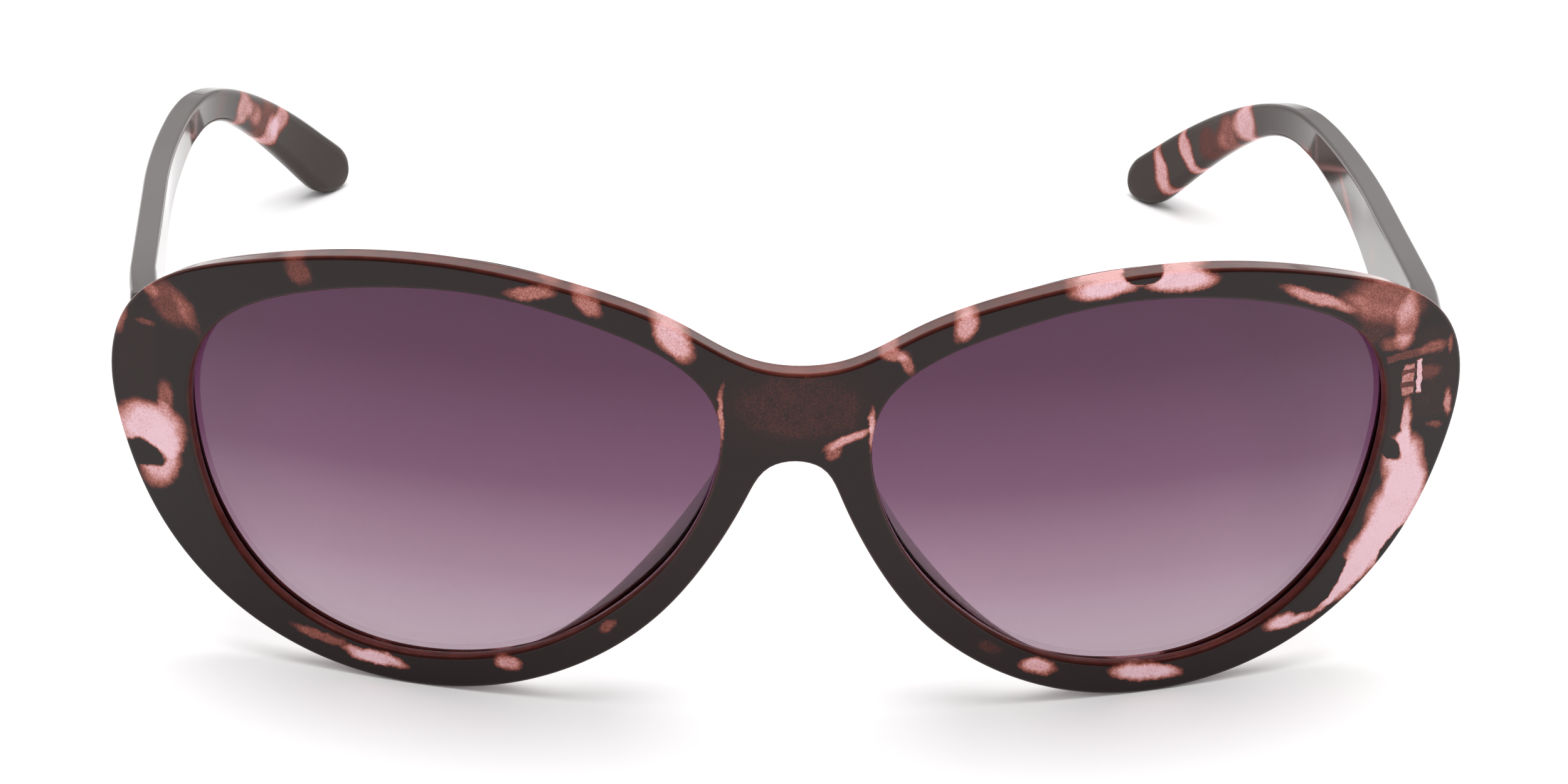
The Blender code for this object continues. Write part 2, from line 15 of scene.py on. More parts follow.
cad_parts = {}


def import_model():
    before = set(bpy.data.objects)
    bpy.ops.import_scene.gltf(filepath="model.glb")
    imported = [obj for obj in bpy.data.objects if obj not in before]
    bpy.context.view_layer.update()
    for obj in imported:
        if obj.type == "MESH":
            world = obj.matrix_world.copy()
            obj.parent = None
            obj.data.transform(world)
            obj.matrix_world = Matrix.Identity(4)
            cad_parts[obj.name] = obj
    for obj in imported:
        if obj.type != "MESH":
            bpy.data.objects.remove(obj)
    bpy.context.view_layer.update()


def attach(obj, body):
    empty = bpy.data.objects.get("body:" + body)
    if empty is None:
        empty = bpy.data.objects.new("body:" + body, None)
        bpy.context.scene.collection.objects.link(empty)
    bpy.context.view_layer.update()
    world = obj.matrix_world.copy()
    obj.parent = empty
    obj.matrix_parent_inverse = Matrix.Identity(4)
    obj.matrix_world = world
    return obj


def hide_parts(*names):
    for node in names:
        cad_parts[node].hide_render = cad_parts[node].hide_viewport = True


MM = 0.001
SIDES = {"left": -1, "right": 1}
GAP = 0.3                     # clearance between pieces that touch
SUPPORT = 0.15                # distance of the loops that hold a flat face flat

# Front: a flat outline wrapped round an upright cylinder, whose top leans forward
BOW_RADIUS = 145.0
LEAN = math.radians(7.06)
FRONT_Y = -68.22              # where the front face's foot line crosses the middle plane
FRONT_Z = -0.59               # sets the lowest points of the rims on the ground
FRONT_THICKNESS = 3.8
FRONT_FILLET = 0.45
BACK_FILLET = 1.3
FRONT_STEPS = 5               # facets of the front and back rounded edges
BACK_STEPS = 7
WALL_DRAFT = 0.2              # sideways taper of the outer wall per millimetre of depth
GROOVE_FRONT = 1.25
GROOVE_BACK = 3.1
GROOVE_DEPTH = 1.6
BACK_LIP_DROP = 0.9           # how much lower the lip behind the lens stands than the front one
CREST_SPREAD = 0.4            # width kept by the crest's points where there is no nose pad
CREST_FOOT = 2.4              # where the back face ends and the crest begins, from the opening
PAD_DEPTH = 5.3               # how far the nose pads stand behind the back face
PAD_SWELL = 1.3               # how gently a pad rises out of the rim
PAD_CREST = [(1.9, 0.9), (1.5, 0.97), (1.1, 1.0), (0.75, 0.98), (0.45, 0.93)]
COLUMN_PITCH = 0.9            # spacing of the rim's cross-sections

# Half outline of the front from the top of the bridge, over the brow, round the
# temple side and the bottom, to the underside of the bridge: (along the bow, up)
OUTLINE = [
    (0.0, 43.75), (5.0, 44.5), (12.45, 48.35), (23.0, 52.05), (36.0, 53.75), (49.1, 52.6),
    (61.25, 49.1), (69.75, 45.0), (75.1, 39.45), (77.05, 32.0), (75.55, 23.5), (70.85, 13.7),
    (62.7, 5.8), (52.55, 1.2), (42.0, -0.2), (31.45, 1.25), (21.9, 5.6), (14.05, 12.4),
    (8.35, 21.0), (5.0, 28.2), (2.7, 32.0), (0.0, 32.8),
]
# Lens opening, from the middle of its nose side, over the top and round
OPENING = [
    (8.1, 34.5), (9.3, 40.0), (13.0, 44.1), (21.0, 47.95), (33.0, 50.5), (45.0, 49.6),
    (56.0, 46.1), (63.4, 41.1), (66.7, 35.0), (66.9, 26.0), (63.8, 16.3), (57.5, 8.7),
    (47.5, 4.2), (37.0, 4.05), (27.5, 6.85), (18.5, 13.3), (12.0, 21.4), (8.9, 29.0),
]
# Places along the outline and along the opening that face each other across the rim
RIBS = [
    (0, 1.0), (2, 2.2), (4, 4.1), (6, 5.9), (7, 7.0), (8, 7.6), (9, 8.4), (10, 9.15),
    (11, 10.0), (12, 10.8), (13, 11.65), (14, 12.55), (15, 13.55), (16, 14.55),
    (17, 15.5), (18, 16.15), (19, 17.0), (20, 17.45), (21, 17.8),
]
BRIDGE_COLUMNS = 16           # cross-sections between the underside and the top of the bridge
PAD_SPAN = (13.9, 17.8)       # stretch of the opening that carries the nose pad

# Lenses
LENS_FRONT = 1.55             # depth of the lens's faces behind the front face
LENS_BACK = 2.8
LENS_REACH = 1.25             # how far the lens's edge stands in the groove
LENS_BEVEL = 0.25
LENS_COLUMNS = 200
LENS_RINGS = 10

# Temples: a strip along a centre line, seen from the side and from above
TEMPLE_START_Y = 17.0         # from the front face's foot line
TEMPLE_START_Z = 34.64
TEMPLE_OUTER_X = 71.8
TEMPLE_SLOPE = math.radians(7.45)
TEMPLE_STRAIGHT = 92.5
BEND_RADIUS = 42.0
BEND_ANGLE = math.radians(45.8)
TEMPLE_LENGTH = 132.9
INWARD_START = 52.5           # the strip runs straight back this far
INWARD_RADIUS = 323.0         # then curves gently in
TIP_CURVE_START = 84.2
TIP_CURVE_RADIUS = 110.5      # and tighter behind the ear
TEMPLE_HEIGHTS = [(0.0, 12.4), (10.0, 11.8), (42.0, 8.5), (72.0, 5.6), (102.0, 4.0), (129.2, 6.7)]
TEMPLE_THICKNESS = 2.85
BUTT_THICKNESS = 3.9          # the mitred end is thicker and stands out a little
BUTT_FLARE = 0.4
BUTT_TRIM = 0.9               # how much of the outside is rounded away at the front end
BUTT_LENGTH = 12.0
BUTT_BEVEL = 0.15
BUTT_STEPS = 6                # cross-sections that lead from the mitre to a square cut
TEMPLE_EDGE_RADIUS = 0.4
BUTT_EDGE_RADIUS = 1.2
TIP_SOFTNESS = 0.75           # how much rounder the edges get towards the tip
TIP_SOFTENING = 20.0          # over this length from the start of the bend
TIP_THINNEST = 0.35           # share of its thickness that the very end of the tip keeps
EDGE_STEPS = 4
TEMPLE_PITCH = 1.2
TIP_STEPS = 12

# Hinges: three barrels on an upright screw
HINGE_X = 66.9
HINGE_Y = 18.2                # from the front face's foot line
HINGE_Z = 33.4
BARREL_RADIUS = 0.85
BARREL_BORE = 0.55
MIDDLE_BARREL = 1.0           # heights of the barrels
OUTER_BARREL = 1.2
BARREL_GAP = 0.1
BARREL_BEVEL = 0.08
NECK_WIDTH = 1.0              # between the front plate and its barrels
NECK_INSET = 0.05             # necks and arms are this much lower than their barrels
SCREW_RADIUS = 0.3
SCREW_BEVEL = 0.05
SCREW_HEAD_RADIUS = 0.8
SCREW_HEAD_HEIGHT = 0.5
SCREW_FLAT = 0.55             # radius of the head's flat top, as a share of the head's
SCREW_DOME = 0.25             # how far the head's rim lies below that top
SCREW_STEPS = 7
SLOT_WIDTH = 0.22
SLOT_DEPTH = 0.2
SLOT_TURN = math.radians(35.0)
PLATE_THICKNESS = 0.8
PLATE_HEIGHT = 4.4
PLATE_WIDTH = 3.2
PLATE_SINK = 0.15             # how far the front plate lies below the plastic's surface
PLATE_BEVEL = 0.12
TEMPLE_PLATE_START = 3.2      # behind the hinge axis
TEMPLE_PLATE_LENGTH = 6.0
TEMPLE_PLATE_HEIGHT = 3.0
TEMPLE_PLATE_PROUD = 0.35     # how far the temple plate stands out of the plastic
ARM_LAP = 0.6                 # how far the arm runs along the temple plate
POCKET_GAP = 0.08             # dark line round a plate
POCKET_REACH = 1.5            # how far the pocket cutters stand out of the plastic
ARM_SLOT_REACH = 3.0
ROUND_SIDES = 48

# Studio
FLOOR_REACH = 6000.0
WORLD_STRENGTH = 1.6
# Brightness of the surround: at and below the horizon (0), up to straight overhead (1)
BACK_LEVELS = [(0.0, 0.55), (0.3, 0.62), (0.6, 0.6), (0.85, 0.25), (1.0, 0.1)]
FRONT_LEVELS = [(0.0, 0.12), (0.3, 0.05), (0.8, 0.05), (1.0, 0.1)]
BACK_BEGINS = (-0.25, 0.3)    # where the front's levels give way to the back's, along Y
SEEN_LEVEL = 0.62             # what the camera itself sees of it

# Camera: where it stands, and its turns about the X, Y and Z axes in degrees
CAMERA_PLACE = (-42.26, -790.31, 380.17)
CAMERA_ANGLES = (64.692, -1.889, -2.352)
CAMERA_LENS = 172.65


# ------------------------------------------------------------------ curves

class Loop:
    """A smooth closed curve through points; one unit of the parameter per point."""

    def __init__(self, points):
        self.points = np.array(points, float)
        count = len(self.points)
        following = np.roll(self.points, -1, axis=0)
        self.chords = np.linalg.norm(following - self.points, axis=1)
        matrix = np.zeros((count, count))
        right = np.zeros((count, 2))
        for i in range(count):
            before = self.chords[i - 1]
            after = self.chords[i]
            matrix[i, i - 1] += before
            matrix[i, i] += 2.0 * (before + after)
            matrix[i, (i + 1) % count] += after
            rise = (self.points[(i + 1) % count] - self.points[i]) / after
            fall = (self.points[i] - self.points[i - 1]) / before
            right[i] = 6.0 * (rise - fall)
        self.bends = np.linalg.solve(matrix, right)

    def at(self, t):
        """The point at parameter t."""
        count = len(self.points)
        i = int(math.floor(t)) % count
        j = (i + 1) % count
        chord = self.chords[i]
        ahead = (t - math.floor(t)) * chord
        left = chord - ahead
        bend = (self.bends[i] * left ** 3 + self.bends[j] * ahead ** 3) / (6.0 * chord)
        start = (self.points[i] / chord - self.bends[i] * chord / 6.0) * left
        end = (self.points[j] / chord - self.bends[j] * chord / 6.0) * ahead
        return bend + start + end

    def normal(self, t):
        """The unit normal at parameter t, on the left of the way the points run."""
        step = 0.01
        along = self.at(t + step) - self.at(t - step)
        return np.array((-along[1], along[0])) / np.linalg.norm(along)


def front_point(u, w, depth):
    """A point of the bowed, leaning front: u along the bow, w up, depth behind the face."""
    angle = u / BOW_RADIUS
    reach = BOW_RADIUS - depth
    back = BOW_RADIUS - reach * math.cos(angle)
    y = FRONT_Y + back * math.cos(LEAN) - w * math.sin(LEAN)
    z = FRONT_Z + back * math.sin(LEAN) + w * math.cos(LEAN)
    return Vector((reach * math.sin(angle), y, z))


def height_on_front(u, z, depth):
    """The height w on the front that lies at height z."""
    back = BOW_RADIUS - (BOW_RADIUS - depth) * math.cos(u / BOW_RADIUS)
    return (z - FRONT_Z - back * math.sin(LEAN)) / math.cos(LEAN)


def arc(radius, steps):
    """Points of a quarter round from the wall (0, radius) to the face (radius, 0)."""
    points = []
    for k in range(steps + 1):
        theta = math.pi / 2 * k / steps
        points.append((radius - radius * math.cos(theta), radius - radius * math.sin(theta)))
    return points


def mesh_object(name, bm, material, sharp_degrees=50.0):
    """Turn a bmesh in millimetres into a named object in metres, shaded smooth."""
    bmesh.ops.recalc_face_normals(bm, faces=bm.faces)
    bmesh.ops.scale(bm, vec=(MM, MM, MM), verts=bm.verts)
    mesh = bpy.data.meshes.new(name)
    bm.to_mesh(mesh)
    bm.free()
    mesh.materials.append(material)
    mesh.shade_smooth()
    mesh.set_sharp_from_angle(angle=math.radians(sharp_degrees))
    obj = bpy.data.objects.new(name, mesh)
    bpy.context.scene.collection.objects.link(obj)
    return obj


def mirrored(bm, side):
    """Flip a bmesh made for the +X side when it is wanted on the -X side."""
    if side < 0:
        bmesh.ops.scale(bm, vec=(-1.0, 1.0, 1.0), verts=bm.verts)
        bmesh.ops.reverse_faces(bm, faces=bm.faces)


def combine(obj, other, operation):
    """Replace an object's mesh by its exact Boolean with another one, which goes."""
    modifier = obj.modifiers.new("combine", "BOOLEAN")
    modifier.operation = operation
    modifier.solver = "EXACT"
    modifier.object = other
    graph = bpy.context.evaluated_depsgraph_get()
    mesh = bpy.data.meshes.new_from_object(obj.evaluated_get(graph))
    obj.modifiers.clear()
    obj.data = mesh
    bpy.data.objects.remove(other)


def cut(obj, cutter):
    """Take a cutter's volume out of an object."""
    combine(obj, cutter, "DIFFERENCE")


def join(obj, other):
    """Unite two closed objects into the first one."""
    combine(obj, other, "UNION")


# ------------------------------------------------------------- front frame

def rim_profile(pad):
    """Cross-section of the rim: (edge it is measured from, distance in, depth, wall share).

    The wall share, which marks the rows that take the walls' painted light, is 2 on the outer
    wall, 1 on the inner one and 0 on both faces.
    "between" rows lie at a share of the way over the back face, from the crest's foot.
    """
    thickness = FRONT_THICKNESS
    lip = BACK_LIP_DROP * (1.0 - pad / PAD_DEPTH)
    spread = CREST_SPREAD + (1.0 - CREST_SPREAD) * pad / PAD_DEPTH
    rows = [("opening", 0.0, GROOVE_FRONT - 0.1, 1.0),
            ("opening", 0.0, FRONT_FILLET + SUPPORT, 1.0)]
    rows += [("opening", d, h, h / FRONT_FILLET) for d, h in arc(FRONT_FILLET, FRONT_STEPS)]
    rows.append(("opening", FRONT_FILLET + SUPPORT, 0.0, 0.0))
    face_row = len(rows)
    rows.append(("outline", FRONT_FILLET + SUPPORT, 0.0, 0.0))
    rows += [("outline", d, h, h / FRONT_FILLET)
             for d, h in reversed(arc(FRONT_FILLET, FRONT_STEPS))]
    rows.append(("outline", WALL_DRAFT * SUPPORT, FRONT_FILLET + SUPPORT, 2.0))
    wall = WALL_DRAFT * (thickness - BACK_FILLET)
    rows.append(("outline", wall - WALL_DRAFT * SUPPORT, thickness - BACK_FILLET - SUPPORT, 2.0))
    rows += [("outline", wall + d, thickness - h, 2.0) for d, h in arc(BACK_FILLET, BACK_STEPS)]
    rows.append(("outline", wall + BACK_FILLET + SUPPORT, thickness, 0.0))
    back_row = len(rows) - 1
    for share in (0.75, 0.5, 0.25):
        rows.append(("between", share, thickness + pad * (1.0 - share) ** PAD_SWELL, 0.0))
    rows += [("opening", lip + spread * inset, thickness + share * pad, 0.3)
             for inset, share in PAD_CREST]
    rows += [
        ("opening", lip + 0.15, thickness + 0.84 * pad - 0.05, 0.6),
        ("opening", lip + 0.05, thickness + 0.7 * pad - 0.15, 1.0),
        ("opening", lip, thickness - 0.3, 1.0),
        ("opening", lip, GROOVE_BACK + 0.05, 1.0),
        ("opening", lip + 0.05, GROOVE_BACK, 1.0),
        ("opening", GROOVE_DEPTH, GROOVE_BACK, 1.0),
        ("opening", GROOVE_DEPTH, GROOVE_FRONT, 1.0),
        ("opening", 0.05, GROOVE_FRONT, 1.0),
    ]
    return rows, face_row, back_row


def pad_depth(t):
    """Height of the nose pad at parameter t of the lens opening."""
    start, end = PAD_SPAN
    share = (t - start) / (end - start)
    if share <= 0.0 or share >= 1.0:
        return 0.0
    return PAD_DEPTH * math.sin(math.pi * share) ** PAD_SWELL


def rim_columns(outline, opening):
    """Facing places (outline parameter or None on the middle plane, opening parameter, share)."""
    columns = []
    for (outer_a, inner_a), (outer_b, inner_b) in zip(RIBS, RIBS[1:]):
        span = np.linalg.norm(outline.at(outer_b) - outline.at(outer_a))
        steps = max(4, round(float(span) / COLUMN_PITCH))
        for k in range(steps):
            share = k / steps
            columns.append((outer_a + share * (outer_b - outer_a),
                            inner_a + share * (inner_b - inner_a), 0.0))
    first_inner = RIBS[0][1]
    last_outer, last_inner = RIBS[-1]
    columns.append((last_outer, last_inner, 0.0))
    span = first_inner + len(OPENING) - last_inner
    for k in range(1, BRIDGE_COLUMNS):
        share = k / BRIDGE_COLUMNS
        columns.append((None, last_inner + share * span, share))
    return columns


def build_front(material):
    """The one-piece front: two rims with lens grooves, the bridge and the nose pads."""
    other = [(-u, w) for u, w in reversed(OUTLINE[1:-1])]
    outline = Loop(OUTLINE + other)
    opening = Loop(OPENING)
    columns = rim_columns(outline, opening)
    first, last = RIBS[0][0], RIBS[-1][0]
    back_distance = WALL_DRAFT * (FRONT_THICKNESS - BACK_FILLET) + BACK_FILLET + SUPPORT

    def outer_point(column, distance):
        """A point a distance in from the outline, or on the middle plane at the bridge."""
        outer_t, _, share = column
        if outer_t is not None:
            return outline.at(outer_t) - outline.normal(outer_t) * distance
        low = outline.at(last) - outline.normal(last) * distance
        high = outline.at(first) - outline.normal(first) * distance
        return np.array((0.0, low[1] + share * (high[1] - low[1])))

    def flat_point(column, edge, distance):
        """Where a profile row of a column lies before the front is bowed."""
        inner_t = column[1]
        if edge == "opening":
            return opening.at(inner_t) + opening.normal(inner_t) * distance
        if edge == "outline":
            return outer_point(column, distance)
        inner = opening.at(inner_t) + opening.normal(inner_t) * CREST_FOOT
        return inner + (outer_point(column, back_distance) - inner) * distance

    bm = bmesh.new()
    wall_light_share = bm.verts.layers.float.new("wall_light_share")
    grid = {}
    bridge_start = len(columns) - BRIDGE_COLUMNS
    for side in (1, -1):
        for c, column in enumerate(columns):
            profile, face_row, back_row = rim_profile(pad_depth(column[1]))
            for r, (edge, distance, depth, share) in enumerate(profile):
                if column[0] is None and face_row < r < back_row:
                    continue
                u, w = flat_point(column, edge, distance)
                if abs(u) < 1e-6 and side < 0:
                    grid[side, c, r] = grid[1, c, r]
                else:
                    grid[side, c, r] = bm.verts.new(front_point(side * u, w, depth))
                    grid[side, c, r][wall_light_share] = share
        rows = len(profile)
        for c in range(len(columns)):
            following = (c + 1) % len(columns)
            for r in range(rows):
                below = (r + 1) % rows
                if c >= bridge_start and face_row <= r < back_row:
                    continue
                corners = [(c, r), (c, below), (following, below), (following, r)]
                if side < 0:
                    corners.reverse()
                bm.faces.new([grid[side, i, j] for i, j in corners])
    front = mesh_object("tortoise_front", bm, material, 60.0)
    half = PLATE_WIDTH / 2 + POCKET_GAP
    tall = PLATE_HEIGHT / 2 + POCKET_GAP
    for side in (1, -1):
        low = (-half, -PLATE_SINK - PLATE_THICKNESS - POCKET_GAP, -tall)
        cut(front, hinge_box("pocket", side, material, low, (half, POCKET_REACH, tall),
                             front_plate_frame(), 0.0))
    return front


# ------------------------------------------------------------------ lenses

def build_lens(side, name, material):
    """A thin bowed shell with a bevelled edge that stands in the groove."""
    opening = Loop(OPENING)
    edge, outward = [], []
    for k in range(LENS_COLUMNS):
        t = k * len(OPENING) / LENS_COLUMNS
        edge.append(opening.at(t) + opening.normal(t) * LENS_REACH)
        outward.append(opening.normal(t))
    centre = sum(edge) / len(edge)
    bm = bmesh.new()
    sheets = []
    for depth, inward in ((LENS_FRONT, 1), (LENS_BACK, -1)):
        rings = [[bm.verts.new(front_point(*point, depth + inward * LENS_BEVEL))
                  for point in edge]]
        for ring in range(LENS_RINGS):
            share = 1.0 - ring / LENS_RINGS
            verts = []
            for point, way in zip(edge, outward):
                u, w = centre + (point - way * LENS_BEVEL - centre) * share
                verts.append(bm.verts.new(front_point(u, w, depth)))
            rings.append(verts)
        sheets.append((rings, bm.verts.new(front_point(*centre, depth))))
    for rings, middle in sheets:
        for k in range(LENS_COLUMNS):
            n = (k + 1) % LENS_COLUMNS
            for outer, inner in zip(rings, rings[1:]):
                bm.faces.new((outer[k], outer[n], inner[n], inner[k]))
            bm.faces.new((rings[-1][k], rings[-1][n], middle))
    front_edge, back_edge = sheets[0][0][0], sheets[1][0][0]
    for k in range(LENS_COLUMNS):
        n = (k + 1) % LENS_COLUMNS
        bm.faces.new((front_edge[k], back_edge[k], back_edge[n], front_edge[n]))
    mirrored(bm, side)
    return mesh_object(name, bm, material, 30.0)


# ----------------------------------------------------------------- temples

def eased(table, s):
    """Read a table of (place, value) along a smooth curve that stays between its rows."""
    places, values = zip(*table)
    if s >= places[-1]:
        return values[-1]
    i = max(k for k in range(len(places) - 1) if places[k] <= s)
    rates = [(values[k + 1] - values[k]) / (places[k + 1] - places[k])
             for k in range(len(places) - 1)]
    slopes = [rates[0]]
    for before, after in zip(rates, rates[1:]):
        same_way = before * after > 0.0
        slopes.append(2.0 * before * after / (before + after) if same_way else 0.0)
    slopes.append(rates[-1])
    width = places[i + 1] - places[i]
    x = (s - places[i]) / width
    from_left = values[i] * (1 + 2 * x) * (1 - x) ** 2 + slopes[i] * width * x * (1 - x) ** 2
    from_right = values[i + 1] * x * x * (3 - 2 * x) + slopes[i + 1] * width * x * x * (x - 1)
    return from_left + from_right


def temple_side_view(s):
    """(how far back, how high, downward angle) of the centre line at length s."""
    straight = min(s, TEMPLE_STRAIGHT)
    back = straight * math.cos(TEMPLE_SLOPE)
    drop = straight * math.sin(TEMPLE_SLOPE)
    turned = min(max(s - TEMPLE_STRAIGHT, 0.0) / BEND_RADIUS, BEND_ANGLE)
    angle = TEMPLE_SLOPE + turned
    back += BEND_RADIUS * (math.sin(angle) - math.sin(TEMPLE_SLOPE))
    drop += BEND_RADIUS * (math.cos(TEMPLE_SLOPE) - math.cos(angle))
    beyond = max(s - TEMPLE_STRAIGHT - BEND_RADIUS * BEND_ANGLE, 0.0)
    back += beyond * math.cos(angle)
    drop += beyond * math.sin(angle)
    return back, TEMPLE_START_Z - drop, angle


def temple_inward(s):
    """(how far the outer face has moved in, its slope) at length s."""
    gentle = max(s - INWARD_START, 0.0)
    tight = max(s - TIP_CURVE_START, 0.0)
    moved = gentle ** 2 / (2 * INWARD_RADIUS) + tight ** 2 / (2 * TIP_CURVE_RADIUS)
    return moved, gentle / INWARD_RADIUS + tight / TIP_CURVE_RADIUS


def butt_y(x, z):
    """The mitred front end of the temple, a gap behind the front's back face."""
    depth = FRONT_THICKNESS + GAP
    angle = math.asin(x / (BOW_RADIUS - depth))
    u = angle * BOW_RADIUS
    return front_point(u, height_on_front(u, z, depth), depth).y


def temple_section(s, inset=0.0):
    """The closed cross-section of the right-hand temple at length s."""
    back, height, angle = temple_side_view(s)
    moved, slope = temple_inward(s)
    tip_radius = TEMPLE_HEIGHTS[-1][1] / 2
    into_tip = max(s - (TEMPLE_LENGTH - tip_radius), 0.0)
    rounding = math.sqrt(max(1.0 - (into_tip / tip_radius) ** 2, 0.0))
    butt = max(1.0 - s / BUTT_LENGTH, 0.0)
    trim = BUTT_TRIM * butt ** 2
    full_thickness = TEMPLE_THICKNESS + (BUTT_THICKNESS - TEMPLE_THICKNESS) * butt - trim
    thinning = TIP_THINNEST + (1.0 - TIP_THINNEST) * math.sqrt(rounding)
    thickness = full_thickness * thinning - 2 * inset
    half_height = 0.5 * eased(TEMPLE_HEIGHTS, s) * rounding - inset
    outer_x = TEMPLE_OUTER_X + BUTT_FLARE * butt ** 2 - trim - moved
    turn = math.atan(slope)
    inward = Vector((-math.cos(turn), -math.sin(turn), 0.0))
    along = Vector((-math.sin(turn) * math.cos(angle), math.cos(turn) * math.cos(angle),
                    -math.sin(angle)))
    up = along.cross(inward)
    edge = TEMPLE_EDGE_RADIUS + (BUTT_EDGE_RADIUS - TEMPLE_EDGE_RADIUS) * butt
    edge += TIP_SOFTNESS * min(max((s - TEMPLE_STRAIGHT) / TIP_SOFTENING, 0.0), 1.0)
    radius = min(edge, 0.45 * thickness, 0.8 * half_height)     # leaves flats between rounds
    middle = Vector((outer_x, FRONT_Y + TEMPLE_START_Y + back, height))
    middle += inward * full_thickness / 2
    support = min(SUPPORT, 0.2 * (thickness - 2 * radius), 0.2 * (half_height - radius))
    points = []
    for index, (across, rise) in enumerate(((-1, 1), (1, 1), (1, -1), (-1, -1))):
        turns = [90 * index + 90 * step / EDGE_STEPS for step in range(EDGE_STEPS + 1)]
        places = [(math.radians(turns[0]), support), (math.radians(turns[-1]), support)]
        places[1:1] = [(math.radians(turn), 0.0) for turn in turns]
        for number, (theta, shift) in enumerate(places):
            a = across * (thickness / 2 - radius) - radius * math.cos(theta)
            b = rise * (half_height - radius) + radius * math.sin(theta)
            direction = theta - math.pi / 2 if number == 0 else theta + math.pi / 2
            a -= shift * math.cos(direction)
            b += shift * math.sin(direction)
            points.append(middle + inward * a + up * b)
    return points


def build_temple(side, name, material):
    """One solid moulded temple, from its mitred end to its rounded tip."""
    tip_radius = TEMPLE_HEIGHTS[-1][1] / 2
    round_start = TEMPLE_LENGTH - tip_radius
    count = round((round_start - BUTT_LENGTH) / TEMPLE_PITCH)
    stations = [BUTT_LENGTH + (round_start - BUTT_LENGTH) * k / count for k in range(count + 1)]
    for k in range(1, TIP_STEPS):
        stations.append(round_start + tip_radius * math.sin(math.pi / 2 * k / TIP_STEPS))
    flat_start = temple_section(BUTT_LENGTH)
    sections = []
    for k, inset in [(0, BUTT_BEVEL)] + [(k, 0.0) for k in range(BUTT_STEPS)]:
        share = k / BUTT_STEPS
        points = temple_section(BUTT_LENGTH * share, inset)
        offset = BUTT_BEVEL if inset == 0.0 else 0.0
        for point, far in zip(points, flat_start):
            front_y = butt_y(point.x, point.z) + offset
            point.y = front_y + (far.y - front_y) * share
        sections.append(points)
    sections += [temple_section(s) for s in stations]
    bm = bmesh.new()
    rings = [[bm.verts.new(point) for point in points] for points in sections]
    for near, far in zip(rings, rings[1:]):
        for k in range(len(near)):
            n = (k + 1) % len(near)
            bm.faces.new((near[k], near[n], far[n], far[k]))
    bm.faces.new(rings[0])
    bm.faces.new(list(reversed(rings[-1])))
    mirrored(bm, side)
    temple = mesh_object(name, bm, material, 40.0)
    axis = Matrix.Translation(hinge_axis(1))
    start = TEMPLE_PLATE_START
    tall = TEMPLE_PLATE_HEIGHT / 2 + POCKET_GAP
    deep = temple_face() - TEMPLE_PLATE_PROUD + PLATE_THICKNESS + POCKET_GAP
    low = (temple_face() - POCKET_REACH, start - POCKET_GAP, -tall)
    high = (deep, start + TEMPLE_PLATE_LENGTH + POCKET_GAP, tall)
    cut(temple, hinge_box("recess", side, material, low, high, axis, 0.0))
    tall = MIDDLE_BARREL / 2 + GAP
    low = (temple_face() - POCKET_REACH, -ARM_SLOT_REACH, -tall)
    high = (temple_face() + GAP, start, tall)
    cut(temple, hinge_box("arm_slot", side, material, low, high, axis, 0.0))
    return temple


# ------------------------------------------------------------------ hinges

def hinge_axis(side):
    """A point on the upright axis of the hinge on one side."""
    return Vector((side * HINGE_X, FRONT_Y + HINGE_Y, HINGE_Z))


def temple_face():
    """How far the temple's inner face lies outside the hinge axis."""
    return TEMPLE_OUTER_X - TEMPLE_THICKNESS - HINGE_X


def front_plate_frame():
    """Matrix of the front plate: X along the back face, Y out of it, origin on the face."""
    depth = FRONT_THICKNESS
    turn = math.asin(HINGE_X / (BOW_RADIUS - depth))
    u = turn * BOW_RADIUS
    on_face = front_point(u, height_on_front(u, HINGE_Z, depth), depth)
    return Matrix.Translation(on_face) @ Matrix.Rotation(turn, 4, "Z")


def hinge_box(name, side, material, low, high, matrix, bevel):
    """A box with rounded edges between two corners, placed by a matrix."""
    low, high = Vector(low), Vector(high)
    bm = bmesh.new()
    for vert in bmesh.ops.create_cube(bm, size=1.0)["verts"]:
        vert.co = (low + high) / 2 + (high - low) * vert.co
    if bevel > 0.0:
        bmesh.ops.bevel(bm, geom=bm.edges[:], offset=bevel, segments=3, profile=0.5,
                        affect="EDGES")
    bmesh.ops.transform(bm, matrix=matrix, verts=bm.verts)
    mirrored(bm, side)
    return mesh_object(name, bm, material, 30.0)


def turned(bm, profile, origin, capped=False):
    """A body turned about an upright line: a closed ring section, or a capped solid."""
    rings = []
    for radius, z in profile:
        ring = []
        for k in range(ROUND_SIDES):
            theta = 2 * math.pi * k / ROUND_SIDES
            place = Vector((radius * math.cos(theta), radius * math.sin(theta), z))
            ring.append(bm.verts.new(origin + place))
        rings.append(ring)
    pairs = list(zip(rings, rings[1:]))
    if capped:
        bm.faces.new(rings[0])
        bm.faces.new(rings[-1])
    else:
        pairs.append((rings[-1], rings[0]))
    for near, far in pairs:
        for k in range(ROUND_SIDES):
            n = (k + 1) % ROUND_SIDES
            bm.faces.new((near[k], near[n], far[n], far[k]))


def hinge_barrel(side, material, low, high):
    """One barrel with softened rims."""
    b = BARREL_BEVEL
    profile = [
        (BARREL_RADIUS - b, low), (BARREL_RADIUS, low + b), (BARREL_RADIUS, high - b),
        (BARREL_RADIUS - b, high), (BARREL_BORE + b, high), (BARREL_BORE, high - b),
        (BARREL_BORE, low + b), (BARREL_BORE + b, low),
    ]
    bm = bmesh.new()
    turned(bm, profile, hinge_axis(1))
    mirrored(bm, side)
    return mesh_object("barrel", bm, material, 30.0)


